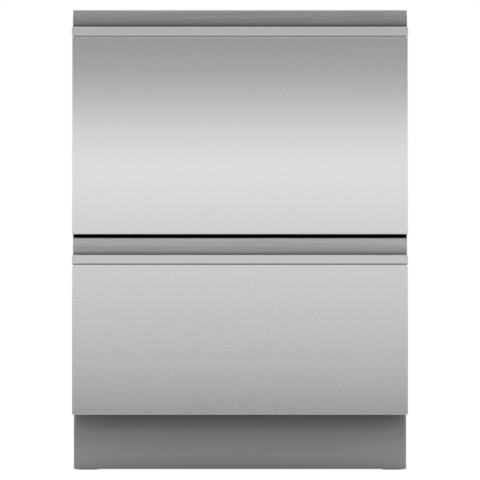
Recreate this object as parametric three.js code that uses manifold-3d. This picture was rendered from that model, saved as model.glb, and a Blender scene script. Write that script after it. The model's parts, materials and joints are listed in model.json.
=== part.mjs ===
// Double dishwasher drawer: two independent wash tubs that slide out of one cabinet, each with a
// stainless front, a recessed handle, wire racks, a spray arm and a lid that drops onto the tub.
// Millimetres, +Z up, +X to the right and the fronts facing -Y. The origin is on the floor, at the
// centre of the width and of the depth.
import * as THREE from "three";
import { mergeVertices } from "three/addons/utils/BufferGeometryUtils.js";
import Module from "manifold-3d";

// ---------------------------------------------------------------- driving dimensions
// overall
const WIDTH = 598; // across the drawer fronts
const DEPTH = 573;
const GAP = 0.3; // between pieces that are fastened or rest on each other
const RUN = 0.6; // running clearance of the telescopic runners
const SHEET = 1.2; // cabinet and front sheet

// heights of the front, from the floor up
const KICK_HEIGHT = 99;
const LOWER_FRONT = 315.5;
const FRONT_GAP = 5.5;
const UPPER_FRONT = 400;

// recessed handle
const HANDLE_BACK = 31; // back plate that shows above the lip
const LIP_FACE = 16; // height of the lip
const SEAM = 1.1; // shadow line between the lip and the panel below it
const LIP_THICK = 7;
const LIP_LEAN = 0.7; // the lip's lower edge stands this far behind its upper edge
const RECESS = 27; // from the lip's face to the back plate
const TROUGH = 26; // depth of the trough below the lip's top edge
const BACK_INSET = 1.8; // the back plate is this much narrower than the front at each end
const BEND = 2.2; // bend radius of the handle sheet

// fronts
const PANEL_DEPTH = 20; // folded edge of the stainless panel
const PANEL_EDGE = 1.6; // rounding of the panel's edges
const PANEL_CORNER = 2.4;
const FRONT_DEPTH = 33; // whole front, lip to rear face
const POD_DROP = 11; // top of the control pod below the top of the handle
const POD_OVERLAP = 6; // its foot above the bottom of the trough
const FRAME_WALL = 3;
const FRAME_RIBS = 3; // pockets across the plastic frame
const KEYS = 5; // touch keys on the pod

// cabinet
const CABINET_INSET = 2; // each side of the cabinet inside the ends of the fronts
const CABINET_TOP = 3; // the cabinet's top below the top of the upper handle
const CABINET_FRONT = 4.5; // gap that the side seals fill behind the drawer fronts
const REAR_SPACE = 12; // hose fittings behind the back panel
const PORT_INSET = 107; // hose fittings from the sides of the cabinet
const PORT_RISE = 60; // and above the underside of the base
const PORT_RADIUS = 17;
const SWAGE_MARGIN = 150; // from the cabinet's front and rear edges
const SLOT_INSET = 27; // the roof's fixing slots from its sides
const RIB_FROM_BASE = 200; // lowest stiffener of the back above the underside of the base
const RIB_FROM_ROOF = 117; // and the highest one below the roof
const SIDE_FLANGE = 15;
const SWAGE = 1.2; // height of the pressed stiffeners
const CROSSBAR_HEIGHT = 17;
const CROSSBAR_DEPTH = 14;
const BASE_HEIGHT = 60; // underside of the base pan
const BASE_WALL = 52;
const SEAL_WIDTH = 4.2;

// toe kick
const KICK_SET_BACK = 50;
const KICK_INSET = 2.5; // each end of the kick inside the ends of the fronts
const KICK_RISE = 0.7; // how far the kick runs up behind the lower front
const KICK_LIFT = 1.5; // clear of the floor
const KICK_RETURN = 26;

// levelling feet
const FOOT_INSET = 25; // from the side of the cabinet
const FOOT_FROM_FRONT = 39; // from the front wall of the base pan
const FOOT_FROM_REAR = 48.5; // from the cabinet's rear face
const FOOT_RADIUS = 20;
const FOOT_PAD = 9;
const STEM_RADIUS = 6;
const STEM_RISE = 67; // top of the screw above the underside of the base
const FOOT_BOSS_RADIUS = 11;
const FOOT_BOSS_HEIGHT = 34;
const FOOT_CLEARANCE = 0.4;

// tubs
const RUNNER_SPACE = 35; // between the tub's mouth and the side of the cabinet
const REAR_ROOM = 61; // behind the tub, for its hose loop
const TUB_BEHIND_FRONT = 17; // from the rear face of the front to the rim
const TUB_WALL = 3;
const TUB_CORNER = 42;
const TUB_DRAFT = 9; // the floor is this much smaller all round than the mouth
const RIM_DROP = 44; // the rim below the top of the handle
const RIM_FLANGE = 7;
const RIM_THICK = 4;
const FLOOR_ABOVE_LOWER = 62; // tub floor above the bottom edge of the front
const FLOOR_ABOVE_UPPER = 80;
const SUMP_RADIUS = 92;
const SUMP_SIDES = 16; // facets of the sump, the filter and the post of the arm
const SUMP_DEPTH = 20;
const SUMP_BACK = 18; // the sump is this far behind the middle of the tub
const FILTER_THICK = 3;
const FILTER_SLOTS = 6;

// wash motor
const MOTOR_RADIUS = 66;
const MOTOR_HEIGHT = 40;
const MOTOR_RIBS = 6;

// spray arm
const ARM_CLEAR = 27; // between the turning arm and the tub's rear wall
const ARM_WIDTH = 34;
const ARM_HEIGHT = 9;
const ARM_LIFT = 12; // underside above the tub floor
const HUB_RADIUS = 24;
const JETS = 3; // on each wing

// runners
const RUNNER_HEIGHT = 46;
const RUNNER_DEPTH = 12;
const RUNNER_SHEET = 1.4;
const RUNNER_ABOVE_FLOOR = 44; // middle of the runner above the tub floor

// lids
const LID_LIFT = 8; // from the rim to the seal at rest
const LID_THICK = 15;
const LID_SHEET = 3;
const LID_RIBS = 3;
const SEAL_HEIGHT = 6;
const SEAL_THICK = 8;
const LUG_HEIGHT = 5;
const LUG_LENGTH = 26;
const LUG_REACH = 17;
const ACTUATOR_LENGTH = 84;
const ACTUATOR_BELOW = 6; // below the lid's lug

// racks
const WIRE = 2.1; // radius of the basket wires
const RIM_WIRE = 2.8;
const TINE_WIRE = 1.9;
const WIRE_SIDES = 4; // square bars, lying flat
const RACK_CLEAR = 14; // between the rack's rim and the tub's mouth at the sides
const RACK_CLEAR_FRONT = 19; // and at the front and rear
const RACK_TAPER = 10;
const RACK_ABOVE_FLOOR = 40;
const RACK_HEIGHT_LOWER = 128;
const RACK_HEIGHT_UPPER = 165;
const RACK_BEND = 16;
const CROSS_WIRES = 7;
const LONG_WIRES = 3;
const TINE_HEIGHT = 62;
const TINE_PITCH = 36;
const TINE_ROWS = 2;
const TINES_A_ROW = 5;
const SHELF_WIDTH = 88; // folding cup shelf
const SHELF_LENGTH = 250;
const SHELF_ABOVE_RACK = 76;
const SHELF_RODS = 5;
const RACK_FOOT = 8; // the rack's four feet, standing on the tub's shoulders

// cutlery basket
const BASKET_LENGTH = 210;
const BASKET_WIDTH = 62;
const BASKET_HEIGHT = 105;
const BASKET_BEHIND = 47.5; // between the basket and the rack's rear rim
const BASKET_WALL = 2.4;
const BASKET_CELLS = 3;

// detergent dispenser, in the front wall of each tub
const CUP_WIDTH = 96;
const CUP_HEIGHT = 62;
const COVER_THICK = 3;

// ---------------------------------------------------------------- levels worked out from them
const CABINET_WIDTH = WIDTH - 2 * CABINET_INSET;
const KICK_WIDTH = WIDTH - 2 * KICK_INSET;
const FRONT_Y = -DEPTH / 2;
const FRONT_REAR = FRONT_Y + FRONT_DEPTH;
const CABINET_Y0 = FRONT_REAR + CABINET_FRONT;
const CABINET_Y1 = DEPTH / 2 - REAR_SPACE;
const SIDE_INNER = CABINET_WIDTH / 2 - SHEET;
const LOWER_TOP = KICK_HEIGHT + LOWER_FRONT;
const UPPER_BOTTOM = LOWER_TOP + FRONT_GAP;
const UPPER_TOP = UPPER_BOTTOM + UPPER_FRONT;
const ROOF = UPPER_TOP - CABINET_TOP;
const TUB_Y0 = FRONT_REAR + TUB_BEHIND_FRONT;
const TUB_Y1 = CABINET_Y1 - REAR_ROOM;
const TUB_WIDTH = CABINET_WIDTH - 2 * RUNNER_SPACE;
const TUB_DEPTH = TUB_Y1 - TUB_Y0;
const SUMP_Y = (TUB_Y0 + TUB_Y1) / 2 + SUMP_BACK;
const ARM_REACH = TUB_Y1 - SUMP_Y - ARM_CLEAR;

const wasm = await Module();
wasm.setup();

// ---------------------------------------------------------------- materials
const finish = (color, roughness, metalness) => new THREE.MeshStandardMaterial({ color, roughness, metalness });
const STAINLESS = finish(0xb9b9b8, 0.34, 1);
const GALVANISED = finish(0x9b9ea0, 0.45, 1);
const RUNNER_STEEL = finish(0xaeb0b2, 0.3, 1);
const BLACK = finish(0x111213, 0.5, 0);
const RUBBER = finish(0x17181a, 0.75, 0);
const FRAME_GREY = finish(0x5f6265, 0.6, 0);
const TUB_GREY = finish(0xc9cccd, 0.42, 0);
const LID_WHITE = finish(0xd6d8d8, 0.5, 0);
const RACK_NYLON = finish(0x8f9598, 0.5, 0);
const DARK_PLASTIC = finish(0x2c2f32, 0.55, 0);

// ---------------------------------------------------------------- helpers
// A closed three.js geometry as a solid that can be joined and cut.
function solid(geometry) {
  const bare = geometry.index ? geometry.toNonIndexed() : geometry;
  const positions = new THREE.BufferGeometry().setAttribute("position", bare.getAttribute("position"));
  const merged = mergeVertices(positions, 1e-3);
  return new wasm.Manifold(
    new wasm.Mesh({
      numProp: 3,
      vertProperties: new Float32Array(merged.attributes.position.array),
      triVerts: new Uint32Array(merged.index.array),
    }),
  );
}

// A solid back as a three.js mesh.
function piece(name, body, material) {
  const mesh = body.getMesh();
  const points = new Float32Array(mesh.numVert * 3);
  for (let i = 0; i < mesh.numVert; i++)
    points.set(mesh.vertProperties.subarray(i * mesh.numProp, i * mesh.numProp + 3), i * 3);
  const geometry = new THREE.BufferGeometry()
    .setAttribute("position", new THREE.BufferAttribute(points, 3))
    .setIndex(new THREE.BufferAttribute(mesh.triVerts, 1));
  geometry.computeVertexNormals();
  const made = new THREE.Mesh(geometry, material);
  made.name = name;
  return made;
}

const union = (bodies) => bodies.reduce((whole, next) => whole.add(next));
const cut = (body, ...tools) => tools.reduce((left, tool) => left.subtract(tool), body);

function block(x0, x1, y0, y1, z0, z1) {
  const geometry = new THREE.BoxGeometry(x1 - x0, y1 - y0, z1 - z0);
  return solid(geometry.translate((x0 + x1) / 2, (y0 + y1) / 2, (z0 + z1) / 2));
}

// The same block on the left and on the right.
const mirrored = (x0, x1, ...rest) => [block(x0, x1, ...rest), block(-x1, -x0, ...rest)];

const AXES = {
  X: [new THREE.Vector3(0, 1, 0), new THREE.Vector3(0, 0, 1), new THREE.Vector3(1, 0, 0)],
  Y: [new THREE.Vector3(0, 0, 1), new THREE.Vector3(1, 0, 0), new THREE.Vector3(0, 1, 0)],
  Z: [new THREE.Vector3(1, 0, 0), new THREE.Vector3(0, 1, 0), new THREE.Vector3(0, 0, 1)],
};

// An outline carried from low to high along an axis. Its points are (y, z) along X, (z, x) along Y
// and (x, y) along Z. bevel rounds both ends and keeps the outer size.
function extruded(outline, axis, low, high, bevel = 0) {
  const corners = (list) => list.map((point) => (point.isVector2 ? point : new THREE.Vector2(...point)));
  const shape = outline instanceof THREE.Shape ? outline : new THREE.Shape(corners(outline));
  const geometry = new THREE.ExtrudeGeometry(shape, {
    depth: high - low - 2 * bevel,
    bevelEnabled: bevel > 0,
    bevelThickness: bevel,
    bevelSize: bevel,
    bevelOffset: -bevel,
    bevelSegments: 1,
    curveSegments: 3,
    steps: 1,
  });
  const basis = new THREE.Matrix4().makeBasis(...AXES[axis]);
  const start = AXES[axis][2].clone().multiplyScalar(low + bevel);
  return solid(geometry.applyMatrix4(basis.setPosition(start)));
}

// A rounded rectangle as an outline.
function roundedRectangle(x0, x1, y0, y1, radius) {
  const shape = new THREE.Shape();
  shape.moveTo(x0 + radius, y0);
  shape.lineTo(x1 - radius, y0);
  shape.absarc(x1 - radius, y0 + radius, radius, -Math.PI / 2, 0);
  shape.lineTo(x1, y1 - radius);
  shape.absarc(x1 - radius, y1 - radius, radius, 0, Math.PI / 2);
  shape.lineTo(x0 + radius, y1);
  shape.absarc(x0 + radius, y1 - radius, radius, Math.PI / 2, Math.PI);
  shape.lineTo(x0, y0 + radius);
  shape.absarc(x0 + radius, y0 + radius, radius, Math.PI, Math.PI * 1.5);
  return shape;
}

// A round bar or disc along an axis through (a, b), where (a, b) is read as in extruded().
function round(axis, a, b, radius, low, high, sides = 16) {
  const shape = new THREE.Shape();
  for (let i = 0; i < sides; i++) {
    const turn = (i / sides) * 2 * Math.PI;
    const point = [a + radius * Math.cos(turn), b + radius * Math.sin(turn)];
    if (i) shape.lineTo(...point);
    else shape.moveTo(...point);
  }
  return extruded(shape, axis, low, high);
}

// A lathe turned about Z through (x, y). The profile runs up from the axis and back to it.
function turned(profile, x, y, sides = 24) {
  const points = profile.map(([r, z]) => new THREE.Vector2(r, z));
  const geometry = new THREE.LatheGeometry(points, sides);
  return solid(geometry.rotateX(Math.PI / 2).translate(x, y, 0));
}

// A line of points with its corners rounded to a radius.
function rounded(points, radius, steps = 3) {
  const line = points.map(([a, b]) => new THREE.Vector2(a, b));
  const out = [line[0]];
  for (let i = 1; i < line.length - 1; i++) {
    const before = line[i - 1].clone().sub(line[i]);
    const after = line[i + 1].clone().sub(line[i]);
    const reach = Math.min(radius, before.length() * 0.45, after.length() * 0.45);
    const start = line[i].clone().add(before.setLength(reach));
    const end = line[i].clone().add(after.setLength(reach));
    const bend = new THREE.QuadraticBezierCurve(start, line[i], end);
    out.push(...bend.getPoints(steps));
  }
  out.push(line[line.length - 1]);
  return out;
}

// The closed outline of a sheet that follows a line of points, with its thickness to the left.
function sheetOutline(line, thickness) {
  const left = line.map((point, i) => {
    const previous = line[Math.max(i - 1, 0)];
    const next = line[Math.min(i + 1, line.length - 1)];
    const before = point.clone().sub(previous);
    const after = next.clone().sub(point);
    if (i === 0) before.copy(after);
    if (i === line.length - 1) after.copy(before);
    const n1 = new THREE.Vector2(-before.y, before.x).normalize();
    const n2 = new THREE.Vector2(-after.y, after.x).normalize();
    const mitre = n1.clone().add(n2).normalize();
    return point.clone().addScaledVector(mitre, thickness / Math.max(mitre.dot(n1), 0.4));
  });
  const outline = [...line, ...left.reverse()];
  return THREE.ShapeUtils.area(outline) < 0 ? outline.reverse() : outline;
}

const folded = (points, thickness, radius, steps) => sheetOutline(rounded(points, radius, steps), thickness);

// A solid skinned over a stack of level rings with the same number of points.
function lofted(rings) {
  const count = rings[0].length;
  const points = rings.flat();
  const faces = [];
  for (let r = 0; r < rings.length - 1; r++)
    for (let i = 0; i < count; i++) {
      const [a, b] = [r * count + i, r * count + ((i + 1) % count)];
      faces.push(a, b, b + count, a, b + count, a + count);
    }
  const cap = THREE.ShapeUtils.triangulateShape(
    rings[0].map((p) => new THREE.Vector2(p.x, p.y)),
    [],
  );
  const top = (rings.length - 1) * count;
  for (const [a, b, c] of cap) {
    faces.push(a, c, b);
    faces.push(top + a, top + b, top + c);
  }
  const geometry = new THREE.BufferGeometry().setFromPoints(points).setIndex(faces);
  return solid(geometry);
}

// A rounded rectangle at a height, for lofted(): half sizes, centre and corner radius.
function ring(halfX, halfY, centreY, z, radius, steps = 3) {
  const out = [];
  for (const [sx, sy, start] of [
    [1, 1, 0],
    [-1, 1, 1],
    [-1, -1, 2],
    [1, -1, 3],
  ])
    for (let i = 0; i <= steps; i++) {
      const turn = ((start + i / steps) * Math.PI) / 2;
      const x = sx * (halfX - radius) + radius * Math.cos(turn);
      const y = centreY + sy * (halfY - radius) + radius * Math.sin(turn);
      out.push(new THREE.Vector3(x, y, z));
    }
  return out;
}

// A wire through a list of points, mitred at each one. closed joins the last point to the first.
function wire(points, radius, closed = false, sides = WIRE_SIDES) {
  const path = points.map((p) => new THREE.Vector3(...p));
  const last = path.length - 1;
  const normal = new THREE.Vector3();
  for (let i = 1; i < last && normal.lengthSq() < 1e-6; i++)
    normal.crossVectors(path[i].clone().sub(path[i - 1]), path[i + 1].clone().sub(path[i]));
  if (normal.lengthSq() < 1e-6) {
    const along = path[last].clone().sub(path[0]).normalize();
    normal.set(0, 0, 1);
    if (Math.abs(along.z) > 0.9) normal.set(1, 0, 0);
    normal.cross(along);
  }
  normal.normalize();
  const vertices = [];
  path.forEach((point, i) => {
    const previous = path[i === 0 ? (closed ? last : 0) : i - 1];
    const next = path[i === last ? (closed ? 0 : last) : i + 1];
    const arrive = point.clone().sub(previous);
    const leave = next.clone().sub(point);
    if (arrive.lengthSq() < 1e-9) arrive.copy(leave);
    if (leave.lengthSq() < 1e-9) leave.copy(arrive);
    const along = arrive.clone().normalize().add(leave.clone().normalize()).normalize();
    const stretch = 1 / Math.max(along.dot(arrive.normalize()), 0.5);
    const side = new THREE.Vector3().crossVectors(along, normal).normalize();
    for (let k = 0; k < sides; k++) {
      const turn = ((k + 0.5) / sides) * 2 * Math.PI;
      vertices.push(
        point
          .clone()
          .addScaledVector(normal, radius * Math.cos(turn))
          .addScaledVector(side, radius * stretch * Math.sin(turn)),
      );
    }
  });
  const faces = [];
  const rings = closed ? path.length : last;
  for (let r = 0; r < rings; r++)
    for (let k = 0; k < sides; k++) {
      const a = r * sides + k;
      const b = r * sides + ((k + 1) % sides);
      const c = ((r + 1) % path.length) * sides + ((k + 1) % sides);
      const d = ((r + 1) % path.length) * sides + k;
      faces.push(a, c, b, a, d, c);
    }
  if (!closed)
    for (let k = 1; k < sides - 1; k++) {
      faces.push(0, k, k + 1);
      faces.push(last * sides, last * sides + k + 1, last * sides + k);
    }
  const geometry = new THREE.BufferGeometry().setFromPoints(vertices).setIndex(faces);
  const made = solid(geometry);
  if (made.volume() > 0) return made;
  const turnedOut = faces.map((_, i) => faces[i - (i % 3) + [0, 2, 1][i % 3]]);
  return solid(new THREE.BufferGeometry().setFromPoints(vertices).setIndex(turnedOut));
}

const spread = (count, low, high) =>
  Array.from({ length: count }, (_, i) => (count === 1 ? (low + high) / 2 : low + ((high - low) * i) / (count - 1)));

const dishwasher = new THREE.Group();
const add = (name, body, material) => dishwasher.add(piece(name, body, material));

// ---------------------------------------------------------------- cabinet
// Each side is one pressed sheet: flat, two stiffening swages, and a flange turned in at the rear.
function sidePanel(side) {
  const outer = (side * CABINET_WIDTH) / 2;
  const swage = (y) => [
    [outer, y - 26],
    [outer + side * SWAGE, y - 20],
    [outer + side * SWAGE, y + 20],
    [outer, y + 26],
  ];
  const line = [
    [outer, CABINET_Y0],
    ...swage(CABINET_Y0 + SWAGE_MARGIN),
    ...swage(CABINET_Y1 - SWAGE_MARGIN),
    [outer, CABINET_Y1 - SHEET - GAP],
    [outer - side * SIDE_FLANGE, CABINET_Y1 - SHEET - GAP],
  ];
  const points = line.map(([x, y]) => new THREE.Vector2(x, y));
  const outline = sheetOutline(points, side * SHEET);
  return extruded(outline, "Z", KICK_HEIGHT + 1, ROOF - SHEET - GAP);
}

const SLOT_X = CABINET_WIDTH / 2 - SLOT_INSET;

// The roof is a sheet with its front edge turned down and a swage pressed along each side.
function topPanel() {
  const line = folded(
    [
      [CABINET_Y0, ROOF - 7],
      [CABINET_Y0, ROOF],
      [CABINET_Y1, ROOF],
    ],
    -SHEET,
    1.5,
  );
  const sheet = extruded(line, "X", -CABINET_WIDTH / 2, CABINET_WIDTH / 2);
  const notches = mirrored(SIDE_INNER - GAP, WIDTH, CABINET_Y0 - 5, CABINET_Y1 + 5, ROOF - 20, ROOF - SHEET - 0.01);
  const slots = [-1, 1].flatMap((side) =>
    spread(2, CABINET_Y0 + 40, CABINET_Y1 - 60).map((y) =>
      block(side * SLOT_X - 4, side * SLOT_X + 4, y - 12, y + 12, ROOF - 5, ROOF + 5),
    ),
  );
  return cut(sheet, ...notches, ...slots);
}

const PORT_Z = BASE_HEIGHT + PORT_RISE;
const DRAIN_X = CABINET_WIDTH / 2 - PORT_INSET;
const INLET_X = -DRAIN_X;

// The back is a flat sheet with pressed cross stiffeners and holes for the hose fittings.
function backPanel() {
  const sheet = extruded(
    roundedRectangle(-SIDE_INNER + GAP, SIDE_INNER - GAP, BASE_HEIGHT + 2, ROOF - SHEET - GAP, 4),
    "Z",
    0,
    SHEET,
  );
  const upright = sheet.rotate([90, 0, 0]).translate([0, CABINET_Y1, 0]);
  const ribs = spread(3, BASE_HEIGHT + RIB_FROM_BASE, ROOF - RIB_FROM_ROOF).map((z) =>
    extruded(
      [
        [CABINET_Y1 - 0.5, z - 16],
        [CABINET_Y1 + SWAGE * 2, z - 10],
        [CABINET_Y1 + SWAGE * 2, z + 10],
        [CABINET_Y1 - 0.5, z + 16],
      ],
      "X",
      -SIDE_INNER + 60,
      SIDE_INNER - 60,
    ),
  );
  const holes = [INLET_X, DRAIN_X].map((x) =>
    round("Y", PORT_Z, x, PORT_RADIUS + GAP, CABINET_Y1 - 5, CABINET_Y1 + 5),
  );
  return cut(union([upright, ...ribs]), ...holes);
}

// A hose fitting through the back: flange inside, threaded or barbed spigot outside.
function portFitting(x, spigot, barbs) {
  const seat = CABINET_Y1 - SHEET - GAP;
  const flange = round("Y", PORT_Z, x, PORT_RADIUS + 6, seat - 14, seat, 6);
  const neck = round("Y", PORT_Z, x, PORT_RADIUS, seat - 1, CABINET_Y1 + 3, 12);
  const tip = round("Y", PORT_Z, x, spigot, CABINET_Y1, DEPTH / 2, 10);
  const rings = spread(barbs, CABINET_Y1 + 5, DEPTH / 2 - 3).map((y) =>
    round("Y", PORT_Z, x, spigot + 1.5, y - 0.9, y + 0.9, 10),
  );
  const bore = round("Y", PORT_Z, x, spigot - 3, seat - 8, DEPTH / 2 + 1, 8);
  return cut(union([flange, neck, tip, ...rings]), bore);
}

// The base is a deep pan, with a threaded boss for each foot. Its front and rear walls dip between
// the corners.
const FRONT_DIP_INSET = 30;
const FRONT_DIP_SILL = 20;
const REAR_DIP_INSET = 60;
const REAR_DIP_SILL = 24;
const BASE_Y0 = FRONT_Y + KICK_SET_BACK + SHEET + GAP;
const FOOT_X = CABINET_WIDTH / 2 - FOOT_INSET;
const FOOT_FRONT = BASE_Y0 + FOOT_FROM_FRONT;
const FOOT_REAR = CABINET_Y1 - FOOT_FROM_REAR;
const STEM_TOP = BASE_HEIGHT + STEM_RISE;
const FEET = [
  ["front_left_foot", -FOOT_X, FOOT_FRONT],
  ["front_right_foot", FOOT_X, FOOT_FRONT],
  ["rear_left_foot", -FOOT_X, FOOT_REAR],
  ["rear_right_foot", FOOT_X, FOOT_REAR],
];

function basePan() {
  const halfWidth = KICK_WIDTH / 2 - SHEET - GAP;
  const rear = CABINET_Y1 - SHEET - SHEET - 2 * GAP;
  const outer = extruded(roundedRectangle(-halfWidth, halfWidth, BASE_Y0, rear, 5), "Z", BASE_HEIGHT, BASE_HEIGHT + BASE_WALL);
  const inner = extruded(
    roundedRectangle(-halfWidth + 2, halfWidth - 2, BASE_Y0 + 2, rear - 2, 4),
    "Z",
    BASE_HEIGHT + 2,
    BASE_HEIGHT + BASE_WALL + 5,
  );
  const high = BASE_HEIGHT + 2 * BASE_WALL;
  const frontEdge = halfWidth - FRONT_DIP_INSET;
  const frontDip = block(-frontEdge, frontEdge, BASE_Y0 - 5, BASE_Y0 + 10, BASE_HEIGHT + FRONT_DIP_SILL, high);
  const rearEdge = halfWidth - REAR_DIP_INSET;
  const rearDip = block(-rearEdge, rearEdge, rear - 10, rear + 5, BASE_HEIGHT + REAR_DIP_SILL, high);
  const bosses = FEET.map(([, x, y]) => round("Z", x, y, FOOT_BOSS_RADIUS, BASE_HEIGHT, BASE_HEIGHT + FOOT_BOSS_HEIGHT, 10));
  const bores = FEET.map(([, x, y]) =>
    round("Z", x, y, STEM_RADIUS + FOOT_CLEARANCE, BASE_HEIGHT - 5, BASE_HEIGHT + FOOT_BOSS_HEIGHT + 5, 10),
  );
  const ribs = spread(2, FOOT_X / 3, -FOOT_X / 3).map((x) => block(x - 1.5, x + 1.5, BASE_Y0 + 1, rear - 1, BASE_HEIGHT + 1, BASE_HEIGHT + 9));
  return cut(union([cut(outer, inner, frontDip, rearDip), ...bosses, ...ribs]), ...bores);
}

// A foot: a ribbed pad with its screw, which runs up through the boss of the base pan.
function levellingFoot(x, y) {
  return turned(
    [
      [0, 0],
      [FOOT_RADIUS - 1.5, 0],
      [FOOT_RADIUS, 1.5],
      [FOOT_RADIUS, 4],
      [STEM_RADIUS + 3, FOOT_PAD],
      [STEM_RADIUS + 3, FOOT_PAD + 8],
      [STEM_RADIUS, FOOT_PAD + 8],
      [STEM_RADIUS, STEM_TOP - 2],
      [STEM_RADIUS - 2, STEM_TOP],
      [0, STEM_TOP],
    ],
    x,
    y,
    8,
  );
}

// The toe kick is one sheet, folded back at both ends and hemmed along the top.
function toeKick() {
  const y = FRONT_Y + KICK_SET_BACK;
  const end = KICK_WIDTH / 2;
  const plan = folded(
    [
      [-end, y + KICK_RETURN],
      [-end, y],
      [end, y],
      [end, y + KICK_RETURN],
    ],
    SHEET,
    2,
  );
  return extruded(plan, "Z", KICK_LIFT, KICK_HEIGHT + KICK_RISE);
}

// The black rail across the cabinet between the two drawers, an open channel facing the rear.
const RAIL_MIDDLE = (LOWER_TOP + UPPER_BOTTOM) / 2;

function crossbar() {
  const [low, high] = [RAIL_MIDDLE - CROSSBAR_HEIGHT / 2, RAIL_MIDDLE + CROSSBAR_HEIGHT / 2];
  const line = folded(
    [
      [CABINET_Y0 + CROSSBAR_DEPTH, low],
      [CABINET_Y0, low],
      [CABINET_Y0, high],
      [CABINET_Y0 + CROSSBAR_DEPTH, high],
    ],
    -1.6,
    2,
  );
  return extruded(line, "X", -SIDE_INNER + GAP, SIDE_INNER - GAP);
}

// The rubber seal on the cabinet's front edge: a flat foot and a bulb towards the drawer.
function sideSeal(side) {
  const x0 = CABINET_WIDTH / 2 - SEAL_WIDTH + 1;
  const x1 = CABINET_WIDTH / 2 + 0.6;
  const shape = new THREE.Shape();
  const tip = FRONT_REAR + GAP;
  const foot = CABINET_Y0 - GAP;
  shape.moveTo(x0, foot);
  shape.lineTo(x0, tip + 2);
  shape.quadraticCurveTo((x0 + x1) / 2, tip - 1.6, x1, tip + 2);
  shape.lineTo(x1, foot);
  const strip = extruded(shape, "Z", KICK_HEIGHT + 2, ROOF - 8);
  return side > 0 ? strip : strip.mirror([1, 0, 0]);
}

add("side_panel_left", sidePanel(-1), GALVANISED);
add("side_panel_right", sidePanel(1), GALVANISED);
add("top_panel", topPanel(), GALVANISED);
add("back_panel", backPanel(), GALVANISED);
add("base_pan", basePan(), DARK_PLASTIC);
add("mid_crossbar", crossbar(), BLACK);
add("toe_kick", toeKick(), STAINLESS);
add("side_seal_left", sideSeal(-1), RUBBER);
add("side_seal_right", sideSeal(1), RUBBER);
add("water_inlet", portFitting(INLET_X, 10, 2), DARK_PLASTIC);
add("drain_outlet", portFitting(DRAIN_X, 9, 2), DARK_PLASTIC);
for (const [name, x, y] of FEET) add(name, levellingFoot(x, y), DARK_PLASTIC);

// ---------------------------------------------------------------- drawer front
// The folded stainless panel, open at the rear.
function frontPanel(d) {
  const outline = roundedRectangle(d.bottom, d.seam, -WIDTH / 2, WIDTH / 2, PANEL_CORNER);
  const outer = extruded(outline, "Y", FRONT_Y, FRONT_Y + PANEL_DEPTH + 8, PANEL_EDGE);
  const inner = block(
    -WIDTH / 2 + SHEET,
    WIDTH / 2 - SHEET,
    FRONT_Y + SHEET,
    FRONT_Y + PANEL_DEPTH + 20,
    d.bottom + SHEET,
    d.seam - SHEET,
  );
  const rear = block(-WIDTH, WIDTH, FRONT_Y + PANEL_DEPTH, FRONT_Y + 60, d.bottom - 5, d.seam + 5);
  const trough = block(-WIDTH / 2 + SHEET, WIDTH / 2 - SHEET, FRONT_Y + LIP_THICK - SHEET, FRONT_Y + 60, d.seam - 5, d.seam + 5);
  return cut(outer, inner, rear, trough);
}

// The handle is one stainless sheet: lip, trough and back plate, with a cheek closing each end.
function handleCap(d) {
  const lipTop = d.top - HANDLE_BACK;
  const line = [
    [FRONT_Y + LIP_THICK - 2 * SHEET, d.seam + SEAM],
    [FRONT_Y + LIP_LEAN, d.seam + SEAM],
    [FRONT_Y, lipTop],
    [FRONT_Y + LIP_THICK, lipTop],
    [FRONT_Y + LIP_THICK + 2, lipTop - TROUGH],
    [FRONT_Y + RECESS, lipTop - TROUGH],
    [FRONT_Y + RECESS, d.top],
    [FRONT_REAR, d.top],
  ];
  const sheet = extruded(folded(line, -SHEET, BEND, 2), "X", -WIDTH / 2, WIDTH / 2);
  const cheek = [
    [FRONT_Y + LIP_THICK, lipTop - 1.5],
    [FRONT_Y + LIP_THICK + 2, lipTop - TROUGH],
    [FRONT_Y + RECESS, lipTop - TROUGH],
    [FRONT_Y + RECESS, lipTop - 1.5],
  ];
  const cheeks = [
    extruded(cheek, "X", WIDTH / 2 - 3 - SHEET, WIDTH / 2 - 3),
    extruded(cheek, "X", 3 - WIDTH / 2, 3 - WIDTH / 2 + SHEET),
  ];
  const low = lipTop - TROUGH - 5;
  const steps = [
    ...mirrored(WIDTH / 2 - BACK_INSET, WIDTH, FRONT_Y + RECESS - 3, FRONT_REAR + 20, low, d.top + 5),
    ...mirrored(WIDTH / 2 - BACK_INSET, WIDTH, FRONT_Y - 5, FRONT_REAR, low, d.seam + SEAM / 2),
  ];
  return cut(union([sheet, ...cheeks]), ...steps);
}

const LANDING_Y = TUB_Y0 - RIM_FLANGE - GAP; // where the tub is screwed to the front
const LANDING_X = TUB_WIDTH / 2 - 18;
const podFoot = (d) => d.top - HANDLE_BACK - TROUGH + POD_OVERLAP;

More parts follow.
